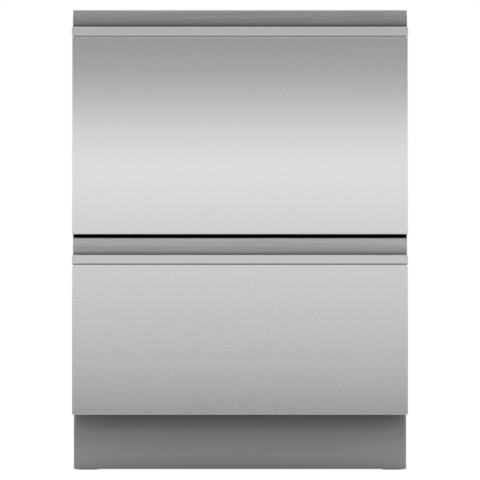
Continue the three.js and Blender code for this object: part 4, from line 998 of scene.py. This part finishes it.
def rails(drawer):
    """On each side two ledges, the web between them with its ribs, and a pad for the front."""
    floor = FLOOR[drawer]
    middle = floor + RAIL_LIFT
    bottom, top = middle - RAIL_HALF + 2, middle + RAIL_HALF - 2
    front, rear = RAIL_Y
    rail = Bundle()
    for _, way in SIDES:
        inner, outer = way * RAIL_X[0], way * RAIL_X[1]
        for z in (middle - RAIL_HALF, middle + RAIL_HALF - LEDGE):
            rail.block((inner, front, z), (outer, rear, z + LEDGE), 0.6)
        rail.block((inner, front, bottom), (inner + way * 12, rear, top), 0.6)
        for y in np.linspace(front + 0.5, rear - 3, 15):
            rail.block((inner + way * 10, y, bottom), (outer - way * 0.6, y + 2.5, top), 0.5)
        rail.block((way * 120, -243.4, floor + 34), (way * 190, -228, floor + 64), 1.5)
    rail.make(f"{drawer}_rails", TUB_GREY, f"{drawer}_drawer")


for drawer in DRAWERS:
    dispenser(drawer)
    rails(drawer)
print("dispenser housing", 2 * CUP_HALF, "mm wide")

# %% [markdown]
# ## The filters
#
# The filter is a moulded plate in fine slots over a basket for the crumbs. Holes cut one by one
# would be slow, so the plate is a grid of rings with cells left out, which gives real holes.


# %% Filters
def filter_plate(drawer):
    """A cone of rings about the sump, pierced, over a round cage of bars, with the arm's post."""
    floor, middle = FLOOR[drawer], (0, SUMP_Y, FLOOR[drawer])
    bands = np.array([25, 30, 38, 41, 49, 52, 60, 68, 76, 79, 86, 91.0])
    rise = 3 * (bands[-1] - bands) / (bands[-1] - bands[0])
    rings = circle(96)[:, None] * bands[:, None] + [0, SUMP_Y]
    top = np.insert(rings, 2, floor + rise, axis=2)
    keep = np.ones((len(rings), len(bands) - 1), bool)
    keep[::2, [1, 3, 5, 9]] = False
    strainer = Bundle()
    strainer.add(*pierced(top, top - [0, 0, 2.2], keep, closed=True))
    post = [[0, -4], [27, -4], [26, 3], [17, 5], [12.5, 9], [8, 9.2], [8, 16], [7, 16.9], [0, 17]]
    strainer.turned(post, middle, 32)
    strainer.turned([[0, -16.6], [62, -16.6], [62, -13], [0, -13]], middle, 48)
    for x, y in circle(24) * 60.5 + [0, SUMP_Y]:
        strainer.wire([[x, y, floor - 14], [x, y, floor + 0.5]], 1.4, (0, 1, 0), sides=6)
    strainer.turned([[0, 2.4], [5, 2.4], [5, 4.4], [0, 4.4]], (70, SUMP_Y, floor), 12)
    node = f"{drawer}_filter"
    return strainer.make(f"{drawer}_strainer", DARK, f"{drawer}_drawer", replaces=[node])


for drawer in DRAWERS:
    print(filter_plate(drawer).name, "made")

# %% [markdown]
# ## The spray arms
#
# A real arm is two thin shells welded at their edge: a flat wing each way from a hub, swept so
# that the slanting jets turn it. Cutting it from a block would need many tools here. Sections set
# along its length, between the two edges of its plan, give the smooth wing at once.

# %% Spray arms
ARM_REACH = 173.5
ARM_THICK = 9.0
ARM_CHORD = 20.0  # half the wing's width at the hub
ARM_TAPER = 170.0  # the length over which it narrows
TIP_START, TIP_LENGTH = 158.0, 16.0


def spray_arm(drawer):
    """Sections across the arm, between two edges that are powers of the distance from the hub.

    Each section is a flattened oval, and one wing is the other turned half round.
    """
    low, node = FLOOR[drawer] + 12, f"{drawer}_spray_arm"
    x = np.linspace(0, 1, 26) ** 0.8 * ARM_REACH
    along = x / ARM_TAPER
    lead = ARM_CHORD - 13 * along**1.6
    trail = -ARM_CHORD - 28 * along * (1 - along) + 9 * along**2
    tip = np.sqrt(np.clip(1 - ((x - TIP_START) / TIP_LENGTH).clip(0) ** 2, 0.002, 1))
    middle, half = (lead + trail) / 2, (lead - trail) / 2 * tip
    x = np.concatenate([-x[:0:-1], x])
    middle = np.concatenate([-middle[:0:-1], middle])
    half = np.concatenate([half[:0:-1], half])
    across, up = circle(20).T
    across = np.sign(across) * np.abs(across) ** 0.7
    up = np.sign(up) * np.abs(up) ** 0.6
    height = ARM_THICK / 2 * np.clip(half / 12, 0.15, 1) ** 0.5
    y = SUMP_Y + middle[:, None] + half[:, None] * across
    z = low + ARM_THICK / 2 + height[:, None] * up
    arm = Bundle()
    arm.rows(np.stack([np.broadcast_to(x[:, None], y.shape), y, z], -1))
    hub = [[0, -0.9], [22, -0.9], [24, 1], [21.5, 12], [17, 15.5], [15, 17], [6, 17.8], [0, 18]]
    arm.turned(hub, (0, SUMP_Y, low), 40)
    spine = np.stack([x, SUMP_Y + middle, np.full_like(x, low + 8.2)], -1)[2:-2]
    for way in (-1, 1):
        arm.wire(spine[spine[:, 0] * way > 30], 1.6, (0, 0, 1))
    arm.make(f"{drawer}_arm", FRAME_GREY, node, replaces=[node], angle=45)
    jets = Bundle()
    jet = [[0, 8.2], [4.6, 8.2], [4.2, 9.8], [3.2, 10.3], [1.6, 10.1], [1.4, 8.6], [0, 8.6]]
    for way in (-1, 1):
        for index, reach in enumerate(np.linspace(48, TIP_START, 6)):
            y = np.interp(reach, x[25:], middle[25:]) + (6 if index % 2 else -5)
            jets.turned(jet, (way * reach, SUMP_Y + way * y, low - 0.6), 14)
    jets.make(f"{drawer}_jets", DARK, node, slot="grey_plastic")


for drawer in DRAWERS:
    spray_arm(drawer)
print("spray arm reach", ARM_REACH, "mm")

# %% [markdown]
# ## Lids and their seals
#
# Each tub is closed by a lid that stays in the cabinet and drops onto the rim once the drawer is
# in. It is a tray turned upwards, stiffened by ribs, with a soft lip seal underneath. Rings of a
# rounded rectangle make the tray, and a closed section carried round makes the seal.

# %% Lids
LID_CORNER = 42.0
LID_HALF = 269.0
FOOT_STEP = 3.0  # the foot of the tray's wall is rounded by this much
RIB = 1.2  # half a rib's thickness


def lid(drawer):
    """A tray of rounded rings, a few ribs each way across it, and a lug on each side."""
    node, (low, high) = f"{drawer}_lid", node_box(f"{drawer}_lid")
    half, middle = (high - low)[:2] / 2, (high + low)[:2] / 2
    half[0] = LID_HALF
    turn = np.linspace(0, np.pi / 2, 5)
    inset = np.concatenate([FOOT_STEP * (1 - np.sin(turn)), [0, 0.3, 1.2, 2.7, 3, 3.6, 6]])
    level = np.concatenate([FOOT_STEP * (1 - np.cos(turn)), [14.7, 15, 15, 14.6, 14, 3.8, 3]])
    tray = Bundle()
    tray.rows(ring_stack(half, LID_CORNER, middle, zip(inset, low[2] + level), 10))
    bottom, top = low[2] + 2.5, low[2] + 11
    for x in np.linspace(-220, 220, 9):
        tray.block((x - RIB, low[1] + 3, bottom), (x + RIB, high[1] - 3, top), 0.6)
    for y in np.linspace(low[1] + 46, high[1] - 46, 5):
        tray.block((3 - LID_HALF, y - RIB, bottom), (LID_HALF - 3, y + RIB, top - 0.6), 0.6)
    for _, way in SIDES:
        lug = way * 286, SUMP_Y + 13, low[2] + 5
        tray.block((way * (LID_HALF - 2), SUMP_Y - 13, low[2]), lug, 1.5)
    return tray.make(f"{drawer}_lid_tray", LID_WHITE, node, replaces=[node], angle=40)


def lid_seal(drawer):
    """One closed section, a bead with a soft lip, carried round a rounded rectangle."""
    low, high = node_box(f"{drawer}_lid_seal")
    half, middle = (high - low)[:2] / 2, (high + low)[:2] / 2
    section = [(0, 5.9), (0, 3), (0.5, 1.6), (1.8, 0.3), (3.4, 0), (4.8, 0.4), (5.6, 1.6),
               (5.2, 3.0), (6.4, 3.6), (8, 4.4), (8, 5.9)]
    section = [(inset, low[2] + z) for inset, z in section]
    seal = Bundle()
    seal.rows(ring_stack(half, LID_CORNER - 2, middle, section, 10), closed_rows=True)
    name, body = f"{drawer}_seal_lip", f"{drawer}_lid"
    return seal.make(name, RUBBER, body, replaces=[f"{drawer}_lid_seal"])


for drawer in DRAWERS:
    print(lid(drawer).name, "with", lid_seal(drawer).name)

# %% [markdown]
# ## What moves the lids
#
# A geared motor on each side raises and lowers the lid by its lug, which runs in a slot between
# two cheeks. The housing would be moulded in two halves. Five rounded blocks leave the slot free,
# and the motor behind is a turned can.

# %% Lid drives
def lid_drive(drawer, side, way):
    """Five blocks leave the slot for the lid's lug free, with a turned can for the motor.

    The blocks run from and to a distance from the cabinet's middle, the lug and the lid's
    underside.
    """
    node, z = f"{drawer}_lid_actuator_{side}", node_box(f"{drawer}_lid")[0][2]
    drive = Bundle()
    for x0, x1, y0, y1, z0, z1 in (
        (287, 295.3, -42, 42, -14, 20),
        (269.8, 288, -42, -13.4, -14, 20),
        (269.8, 288, 13.4, 42, -14, 20),
        (270.2, 288, -14, 14, 5.4, 19.4),
        (270.2, 288, -14, 14, -13.4, -8.4),
    ):
        drive.block((way * x0, SUMP_Y + y0, z + z0), (way * x1, SUMP_Y + y1, z + z1), 1.2)
    screw = [[0, -0.4], [3, -0.4], [3, 0.9], [1.2, 1.3], [0, 0.4]]
    for y in (SUMP_Y - 36, SUMP_Y + 36):
        drive.turned(screw, (way * 282, y, z + 20), 12)
    can = [[0, 42], [8.6, 42], [9, 43], [9, 62], [8.2, 63.5], [4, 64], [3.6, 65.9], [0, 65.9]]
    drive.turned(can, (way * 278.8, SUMP_Y, z + 6), 20, axis=1)
    drive.make(f"{drawer}_lid_drive_{side}", BLACK, "cabinet", replaces=[node])


for drawer in DRAWERS:
    for side, way in SIDES:
        lid_drive(drawer, side, way)
print("lid drives made")

# %% [markdown]
# ## The telescopic runners
#
# A full-extension runner is three rolled steel channels, one in another. A rolled channel has
# bends of about its own thickness, so its section is a line with four fillets, thickened and
# carried along Y. Rivets hold the fixed one to the side of the cabinet.

# %% Runners
RUNNER_SHEET = 1.4
RUNNER_BEND = 2.4


def runner(drawer, part, body, side, way):
    """A line of four corners, rounded, given the sheet's thickness and carried along Y."""
    node = f"{drawer}_runner_{part}_{side}"
    low, high = node_box(node)
    web, mouth = (high[0], low[0]) if way > 0 else (low[0], high[0])
    corners = [[mouth, low[2]], [web, low[2]], [web, high[2]], [mouth, high[2]]]
    line = fillet(corners, RUNNER_BEND, 5)
    outline = np.concatenate([line, offset(line, way * RUNNER_SHEET)[::-1]])
    along = low[1], low[1] + 0.2, high[1] - 0.2, high[1]
    channel = Bundle()
    channel.rows(np.stack([np.insert(outline, 1, y, axis=1) for y in along]))
    if part == "fixed":
        rivet = np.array([[0, -0.5], [3.2, -0.5], [3.2, 0.1], [2.4, 0.4], [0, 0.45]])
        inner, middle = web - way * RUNNER_SHEET, (low[2] + high[2]) / 2
        for y in np.linspace(low[1] + 25, high[1] - 25, 7):
            channel.turned(rivet * [1, -way], (inner, y, middle), 10, axis=0)
    channel.make(f"{drawer}_rail_{part}_{side}", RUNNER_STEEL, body, replaces=[node])


for drawer in DRAWERS:
    for side, way in SIDES:
        runner(drawer, "fixed", "cabinet", side, way)
        runner(drawer, "middle", f"{drawer}_runner_{side}", side, way)
        runner(drawer, "moving", f"{drawer}_drawer", side, way)
print("runners: 12 channels")

# %% [markdown]
# ## Control pods
#
# The keys sit on top of the drawer, behind the handle, so they only show when it is open. They
# are sealed pads of black plastic, each with a dot of light, beside a small dark display.

# %% Keys and displays
GLASS = Finish("display_glass", Roughness=0.08, Coat_Weight=0.5)
depth = GLASS.noise(30, 2.0)
GLASS.tint(grey(14), 1 + (depth - 0.5) * 0.3)
COLD_WHITE = (0.55, 0.85, 1.0, 1)
LED = Finish("status_light", Roughness=0.3, Emission_Color=COLD_WHITE, Emission_Strength=0.6)
LED.tint((0.5, 0.6, 0.65), 1 + (LED.noise(400) - 0.5) * 0.1)


KEY_PLACES = np.linspace(-141.9, 141.9, 5)
KEY_HALF = 12.7
GLASS_X = (-234.6, -195.0)


def pod(drawer):
    """Five keys at even steps with a turned dot of light on each, and a block for the display."""
    low, high = node_box(f"{drawer}_control_pod")
    body, top, middle = f"{drawer}_drawer", high[2], low[1] + 7
    under = top - 0.6
    keys, dots, glass = Bundle(), Bundle(), Bundle()
    for x in KEY_PLACES:
        corner = x - KEY_HALF, middle - 3.2, under
        keys.block(corner, (x + KEY_HALF, middle + 3.2, top + 0.5), 0.9)
        dots.turned([[0, 0], [0.9, 0], [0.9, 0.1], [0, 0.16]], (x + 9.5, middle, top + 0.45), 10)
    glass.block((GLASS_X[0], middle - 3.8, under), (GLASS_X[1], middle + 3.8, top + 0.2), 0.6)
    keys.make(f"{drawer}_keys", DARK, body, slot="black_plastic")
    dots.make(f"{drawer}_key_lights", LED.material, body, slot="black_plastic")
    glass.make(f"{drawer}_display", GLASS.material, body, slot="black_plastic")


for drawer in DRAWERS:
    pod(drawer)
print("pods: 5 keys and a display each")

# %% [markdown]
# ## The cutlery basket
#
# A moulded basket has walls of one thickness with rows of slots, so that water reaches the
# cutlery. Its outer wall is a grid unrolled round the basket with the slots left out, and the
# base is a second grid with square holes.

# %% Cutlery basket
BASKET_WALL = 2.0
BASKET_CORNER = 6.0
PARTITION = 2.4
END_CELLS, LONG_CELLS = 16, 60  # along a short side and a long one


def basket_ring(half_x, half_y, radius):
    """A rounded rectangle with even steps along its sides: four sides and four corners."""
    end = np.linspace(-1, 1, END_CELLS + 1)[:, None]
    long = np.linspace(-1, 1, LONG_CELLS + 1)[:, None]
    right = np.hstack([np.full_like(end, half_x), end * (half_y - radius)])
    rear = np.hstack([-long * (half_x - radius), np.full_like(long, half_y)])
    turn = np.linspace(0, np.pi / 2, 5)[1:-1]
    arcs = []
    for quarter, corner in enumerate([(1, 1), (-1, 1), (-1, -1), (1, -1)]):
        a = turn + quarter * np.pi / 2
        corner = np.array(corner) * [half_x - radius, half_y - radius]
        arcs.append(corner + radius * np.stack([np.cos(a), np.sin(a)], -1))
    return [right, arcs[0], rear, arcs[1], -right, arcs[2], -rear, arcs[3]]


def cutlery_basket():
    """A grid unrolled round the basket and a flat one for its base, both pierced.

    Two partitions stand in it, and a closed section is carried round its rim.
    """
    node = "cutlery_basket"
    low, high = node_box(node)
    half, middle = (high - low)[:2] / 2, (high + low)[:2] / 2
    basket = Bundle()
    levels = np.linspace(low[2] + 9, high[2] - 14, 15)
    levels = np.concatenate([[low[2], low[2] + 5], levels, [high[2]]])

    def wall(inset):
        """The ring at every level, unrolled: (points, levels, 3)."""
        ring = np.concatenate(basket_ring(*(half - inset), BASKET_CORNER - inset)) + middle
        return np.stack([np.insert(ring, 2, z, axis=1) for z in levels], axis=1)

    outer, inner = wall(0), wall(BASKET_WALL)
    rows = np.arange(2, len(levels) - 2)
    rows = rows[rows % 5 != 1]
    keep = np.ones((len(outer), len(levels) - 1), bool)
    first = 0
    for part in basket_ring(*half, BASKET_CORNER):
        cells = np.arange(1, len(part) - 1, 2)
        if len(part) > LONG_CELLS:
            cells = cells[cells % (LONG_CELLS // 3) > 2]
        if len(part) > END_CELLS:
            keep[np.ix_(first + cells, rows)] = False
        first += len(part)
    basket.add(*pierced(outer, inner, keep, closed=True))
    for x in np.linspace(low[0] + PARTITION, high[0], 4)[1:-1]:
        corner = x - PARTITION, low[1] + 1.9, low[2] + 1
        basket.block(corner, (x, high[1] - 1.9, high[2] - 1), 0.5)
    x, y = np.linspace(low[0] + 3, high[0] - 3, 69), np.linspace(low[1] + 3, high[1] - 3, 19)
    x, y = np.meshgrid(x, y, indexing="ij")
    top = np.stack([x, y, np.full_like(x, low[2] + 2.6)], -1)
    keep = np.ones((x.shape[0] - 1, x.shape[1] - 1), bool)
    keep[1::2, 1::2] = False
    basket.add(*pierced(top, top - [0, 0, 2.2], keep))
    rim = [(0, -5), (0, -0.6), (0.6, 0), (2.6, 0), (3.2, -0.6), (3.2, -5)]
    rim = np.array(rim) + [0, high[2]]
    basket.rows(ring_stack(half, BASKET_CORNER, middle, rim, 6), closed_rows=True)
    return basket.make(f"{node}_slotted", DARK, node, replaces=[node], angle=30)


print("cutlery basket:", len(cutlery_basket().data.polygons), "faces")

# %% [markdown]
# ## Feet
#
# A foot is a moulded disc on a steel screw, turned by its nut. The disc and the nut are profiles
# carried round, as on a lathe. The screw is a ridge wound up the shaft: a helix swept along a rod
# would need a cut for each turn, so the radius of one grid rises and falls with the turn instead.

# %% Feet
SCREW_RADIUS = 6.0
PITCH = 2.0
THREAD_DEPTH = 0.7


def threaded(bundle, centre, radius, low, high, pitch):
    """A closed rod along Z whose surface rises and falls with the turn of a screw."""
    steps = int((high - low) / pitch * 6)
    z = np.linspace(low, high, steps + 1)[:, None]
    turn = (np.arange(16) * 2 * np.pi / 16)[None, :]
    phase = (z / pitch * 2 * np.pi - turn) % (2 * np.pi)
    ridge = np.clip(1.2 - np.abs(phase - np.pi) / np.pi * 1.6, 0, 1)
    r = radius - THREAD_DEPTH * (1 - ridge)
    r[[0, -1]] = radius - THREAD_DEPTH - 0.6
    rows = np.stack([r * np.cos(turn), r * np.sin(turn), np.broadcast_to(z, r.shape)], -1)
    bundle.rows(rows + centre)


def foot(corner):
    """A threaded shaft with a six-sided nut, over a turned disc with eight studs round it."""
    node = f"{corner}_foot"
    low, high = node_box(node)
    middle = np.append((low + high)[:2] / 2, 0)
    shaft, base = Bundle(), Bundle()
    threaded(shaft, middle, SCREW_RADIUS, low[2] + 15, high[2], PITCH)
    shaft.turned([[0, 9], [8.6, 9], [9, 9.5], [9, 16], [8.4, 16.8], [0, 16.9]], middle, 6)
    disc = [[0, 0], [18.2, 0], [19.6, 0.6], [20, 1.8], [20, 3.6], [19.2, 4.6], [11, 8], [9.4, 9.2],
            [0, 9.4]]
    base.turned(disc, middle, 32)
    for x, y in circle(8) * 14.6 + middle[:2]:
        base.turned([[0, 4], [1.8, 4], [1.7, 7.2], [0, 7.3]], (x, y, 0), 8)
    more = {"replaces": [node], "slot": "black_plastic", "angle": 40}
    shaft.make(f"{corner}_screw", RUNNER_STEEL, node, **more)
    base.make(f"{corner}_pad", BLACK, node)


for corner in ("front_left", "front_right", "rear_left", "rear_right"):
    foot(corner)
print("four feet made")

# %% [markdown]
# ## Wash motors
#
# Under each sump hangs the pump motor in a moulded can, with cooling fins and a spout for the
# drain hose. The can is a turned profile and each fin a thin wedge let into it. The spout is
# hollow, so it is one closed wall section carried round, with barbs to hold the hose.


# %% Wash motors
def tube(bundle, profile, x, z):
    """A pipe along Y: circles at each (radius, y) point round the section of its wall."""
    ring = np.insert(circle(24), 1, 0, axis=1)
    bundle.rows(np.stack([ring * r + [x, y, z] for r, y in profile]), closed_rows=True)


def wash_motor(drawer):
    """A turned can with fins along its sides, and a barbed spout behind it."""
    node, body = f"{drawer}_wash_motor", f"{drawer}_drawer"
    low, high = node_box(node)
    bottom, top = low[2], high[2]
    middle = np.array([0, SUMP_Y, 0])
    lower = [[0, 0], [50, 0], [55, 1.5], [57.5, 4], [58, 6]]
    upper = [[58, -12.5], [59, -11.4], [65, -10.4], [66, -9.4], [66, -0.6], [65.4, 0], [0, 0]]
    can = Bundle()
    can.turned([[r, bottom + z] for r, z in lower] + [[r, top + z] for r, z in upper], middle, 64)
    section = np.array([[56, -0.9], [63, -0.6], [63, 0.6], [56, 0.9]])
    for x, y in circle(36):
        if abs(y) < 0.93:  # none in front, and none at the spout
            fin = section @ [[x, y, 0], [-y, x, 0]] + middle
            can.rows(np.stack([fin + [0, 0, z] for z in (bottom + 6, top - 11)]))
    can.turned([[0, 0], [20, 0.1], [20, 0.8], [0, 0.9]], (0, SUMP_Y, bottom), 24)
    can.make(f"{node}_can", BLACK, body, replaces=[node], angle=40)
    spout = Bundle()
    pipe = [[12, SUMP_Y + 40], [12, 85], [13, 86.5], [13, 88], [11.4, 91.5], [13, 93], [13, 94.5],
            [11.4, 98], [13, 99.5], [13, 101], [12, 106.4], [9.6, 106.4], [9.6, SUMP_Y + 40]]
    tube(spout, pipe, 30, (bottom + top) / 2)
    spout.make(f"{node}_spout", BLACK, body, angle=40)


for drawer in DRAWERS:
    wash_motor(drawer)
print("two wash motors made")

# %% [markdown]
# ## Where the hoses go on
#
# The water inlet is screwed on and the drain hose is pushed over barbs. Both are moulded pipes
# with a flange that holds them in the back panel, so each is one wall section carried round. The
# thread is drawn as rings, which look the same at this size and keep the section in one piece.

# %% Hose fittings
PIPE_END = 286.4  # behind the origin


def port(node, spigot, ridges):
    """A flanged pipe along Y with a spigot of a radius: ridges are the (radius, y) points on it."""
    low, high = node_box(node)
    inner = spigot - 3
    flange = [[21.6, 264], [22.4, 264.8], [22.4, 272.2], [21.8, 273], [17, 273.2], [17, 276.4],
              [16.4, 277.2]]
    profile = [[inner, 264], *flange, [spigot + 0.6, 277.3], *ridges, [inner, PIPE_END]]
    fitting = Bundle()
    tube(fitting, profile, (low + high)[0] / 2, (low + high)[2] / 2)
    fitting.make(f"{node}_fitting", DARK, "cabinet", replaces=[node], angle=40)


thread = [q for y in np.arange(277.6, 285.4, 1.6) for q in ([10.2, y], [11.3, y + 0.8])]
barbs = [q for y in (278.5, 281.4, 284.0) for q in ([9.4, y], [7.7, y + 2.2])]
port("water_inlet", 10.0, [*thread, [9.6, PIPE_END]])
port("drain_outlet", 8.0, [*barbs, [8.0, PIPE_END]])
print("hose fittings made")

# %% [markdown]
# ## The toe kick
#
# The toe kick is one brushed sheet with its two ends folded back. It is drawn from above as a
# line with two round bends, which a press brake makes too, and raised to its height.

# %% Toe kick
KICK_BEND = 3.2


def toe_kick():
    """A line of four corners seen from above, rounded and given the sheet's thickness.

    Its rings stand one above the other; the end ones are thinner, for the cut edges.
    """
    low, high = node_box("toe_kick")
    corners = [[low[0], high[1]], [low[0], low[1]], [high[0], low[1]], [high[0], high[1]]]
    line = fillet(corners, KICK_BEND, 8, MARGIN)
    rows = []
    for z, inset in ((low[2], 0.15), (low[2] + 0.3, 0), (high[2] - 0.3, 0), (high[2], 0.15)):
        ring = np.concatenate([offset(line, inset), offset(line, SHEET - inset)[::-1]])
        rows.append(np.insert(ring, 2, z, axis=1))
    more = {"replaces": ["toe_kick"], "slot": "stainless_front"}
    return shell("toe_kick_sheet", np.stack(rows), KICK_STEEL, "cabinet", **more)


print("toe kick:", len(toe_kick().data.polygons), "faces")

# %% [markdown]
# ## Sheet screws
#
# Screws with a washer under the head hold the back, the roof and the pan to the side panels. Each
# head is one turned profile. All of a side's screws are gathered into one mesh, as none moves.


# %% Screws
def screws(name, places, axis, way, height):
    """Washer-head sheet screws, one turned profile at each place, standing out along an axis."""
    # (radius, share of the height)
    washer = [[4.4, 0.12], [4.0, 0.3], [2.9, 0.36], [2.8, 0.8], [2.3, 1], [0, 1]]
    under = [[0, -0.5], [4.4, -0.5]]
    profile = np.array(under + [[r, share * height] for r, share in washer]) * [1, way]
    heads = Bundle()
    for place in places:
        heads.turned(profile, place, 12, axis=axis)
    heads.make(name, RUNNER_STEEL, "cabinet", angle=35)


BACK = node_box("back_panel")[0][1] + SHEET
ROOF = node_box("top_panel")[1][2]
FLANK = 297.0
TOP_ROW, BOTTOM_ROW = 806, 108
edges = [(x, BACK, z) for x in (-287, 287) for z in np.linspace(135, 790, 7)]
edges += [(x, BACK, z) for z in (TOP_ROW, BOTTOM_ROW) for x in np.linspace(-215, 215, 4)]
screws("back_screws", edges, 1, 1, 2.2)
roof = [(x, y, ROOF) for x in (-288, 288) for y in (-190, -60, 90, 200)]
screws("roof_screws", roof, 2, 1, 1.8)
for side, way in SIDES:
    spots = [(way * FLANK, y, z) for y in (-215, -40, 190) for z in (BOTTOM_ROW + 2, TOP_ROW)]
    screws(f"side_screws_{side}", spots, 0, way, 1.1)
print("screws:", len(edges) + len(roof) + 2 * len(spots))


# %% [markdown]
# ## Sound deadening
#
# Black bitumen pads are melted onto the tubs to damp the noise of the spray. A pad lies on a wall
# that leans by the mould's draft, so its rings are drawn flat and then laid on that wall.

# %% Deadening pads
PAD_THICK = 2.2
PAD_CORNER = 14.0


def pad(drawer, place, axis, way, across, up):
    """A rounded rectangle from low to high across a wall and up it, in three rings.

    The wall lies as far from the tub's middle as the mouth does, less its draft at that height.
    """
    rim, floor = RIM[drawer], FLOOR[drawer]
    size, middle = np.ptp([across, up], axis=1), np.mean([across, up], axis=1)
    ring = rounded_ring(*(size / 2), PAD_CORNER, 6)
    shrink = ring / np.abs(ring).max(axis=0)
    rows = []
    for inset, out in ((0, -0.2), (0, PAD_THICK - 0.7), (0.8, PAD_THICK)):
        flat = ring + middle - shrink * inset
        lean = DRAFT * (rim - flat[:, 1]) / (rim - floor)
        wall = (0, TUB_MIDDLE)[axis] + way * (MOUTH[axis] - lean + out)
        rows.append(np.insert(flat, axis, wall, axis=1))
    name, body = f"{drawer}_pad_{place}", f"{drawer}_drawer"
    shell(name, np.stack(rows), BITUMEN, body, slot="rubber")


for drawer in DRAWERS:
    floor, top = FLOOR[drawer], RIM[drawer] - 24
    for side, way in SIDES:
        pad(drawer, side, 0, way, (-165, 140), (floor + 78, top))
    pad(drawer, "rear", 1, 1, (-185, 185), (floor + 24, top))
print("deadening pads: 3 on each tub")

# %% [markdown]
# ## The room and the light
#
# The floor and the background are plain white. Only camera, glossy and transmission rays see the
# background at full strength, and only the camera sees the floor glow, so that little extra light
# falls on the object.

# %% World and floor
AMBIENT = 0.55

world = bpy.data.worlds.new("studio")
bpy.context.scene.world = world
world.use_nodes = True
sky = Wiring(world.node_tree)
camera_ray, glossy_ray, passing_ray = (
    sky.node("ShaderNodeLightPath", output=f"Is {kind} Ray")
    for kind in ("Camera", "Glossy", "Transmission")
)
either = sky.node("ShaderNodeMath", {"operation": "MAXIMUM"}, {0: glossy_ray, 1: passing_ray})
seen = sky.node("ShaderNodeMath", {"operation": "MAXIMUM"}, {0: camera_ray, 1: either})
background = sky.tree.nodes["Background"]
background.inputs["Color"].default_value = (1, 1, 1, 1)
sky.feed(background.inputs["Strength"], AMBIENT + seen * (1 - AMBIENT))


def stage_mesh(name, corners, finish):
    """One flat face with a finish, which belongs to the room and not to the object."""
    mesh = bpy.data.meshes.new(name)
    mesh.from_pydata(corners, [], [(0, 1, 2, 3)])
    mesh.materials.append(finish.material)
    made = bpy.data.objects.new(name, mesh)
    bpy.context.scene.collection.objects.link(made)
    return made


FLOOR_HALF = 14  # metres
corners = [(x * FLOOR_HALF, y * FLOOR_HALF, 0) for x, y in ((-1, -1), (1, -1), (1, 1), (-1, 1))]
pale = Finish("floor", Base_Color=(0.85, 0.85, 0.85, 1), Roughness=0.9)
plain = Value(pale, pale.shader.outputs[0])
white = pale.node("ShaderNodeEmission", inputs={"Strength": 1.06})
share = pale.node("ShaderNodeLightPath", output="Is Camera Ray") * 0.9
pale.show(pale.node("ShaderNodeMixShader", inputs={"Fac": share, 1: plain, 2: white}))
stage_mesh("floor", corners, pale)
print("white world and floor ready")

# %% [markdown]
# ## Lamps
#
# A photographer lights steel with large soft sources: a wide one above and one at each side. Area
# lamps are the same, and their size sets how soft the shadows under the handles are.

# %% Lamps
def lamp(name, place, aim, size, power):
    """A rectangular area lamp at a place, turned to shine at a point, in metres and watts."""
    data = bpy.data.lights.new(name, "AREA")
    data.shape = "RECTANGLE"
    data.size, data.size_y = size
    data.energy = power
    made = bpy.data.objects.new(name, data)
    made.location = place
    direction = Vector(aim) - Vector(place)
    made.rotation_euler = direction.to_track_quat("-Z", "Y").to_euler()
    made.visible_camera = False
    bpy.context.scene.collection.objects.link(made)


lamp("top", (0.0, 0.0, 2.4), (0, 0, 0.4), (4.0, 4.0), 26)
lamp("left", (-2.4, -0.6, 1.2), (0, 0, 0.45), (1.4, 1.8), 12)
lamp("right", (2.4, -0.6, 1.2), (0, 0, 0.45), (1.4, 1.8), 12)
print("lamps:", len(bpy.data.lights))

# %% [markdown]
# ## The graded card
#
# Brushed steel shows what stands in front of it. A lit card before the fronts, brightest at the
# height of the upper one and fading above and below, gives them their soft vertical gradient, as
# in a real studio. The camera doesn't see the card itself.

# %% The graded card
CARD_Y = -1.1
CARD_HALF = 2.2
CARD_Z = (-0.4, 2.0)
# what the fronts reflect: (height in metres, light)
CARD_LIGHT = [
    (0.00, 0.00), (0.05, 0.00), (0.09, 0.40), (0.14, 0.75), (0.25, 0.75), (0.35, 0.97),
    (0.42, 0.83), (0.50, 1.15), (0.56, 1.42), (0.62, 1.05), (0.68, 0.55), (0.74, 0.37),
    (0.88, 0.40), (1.20, 0.50),
]

graded = Finish("graded_card")
glow = graded.by_height(CARD_LIGHT)
graded.show(graded.node("ShaderNodeEmission", inputs={"Color": glow, "Strength": 1.0}))
corners = [(x * CARD_HALF, CARD_Y, CARD_Z[z]) for x, z in ((-1, 0), (1, 0), (1, 1), (-1, 1))]
card = stage_mesh("graded_card", corners, graded)
card.visible_camera = False
print("graded card:", len(CARD_LIGHT), "heights")

# %% [markdown]
# ## Last
#
# The picture's colours go through the Standard view transform.

# %% The view transform
bpy.context.scene.view_settings.view_transform = "Standard"
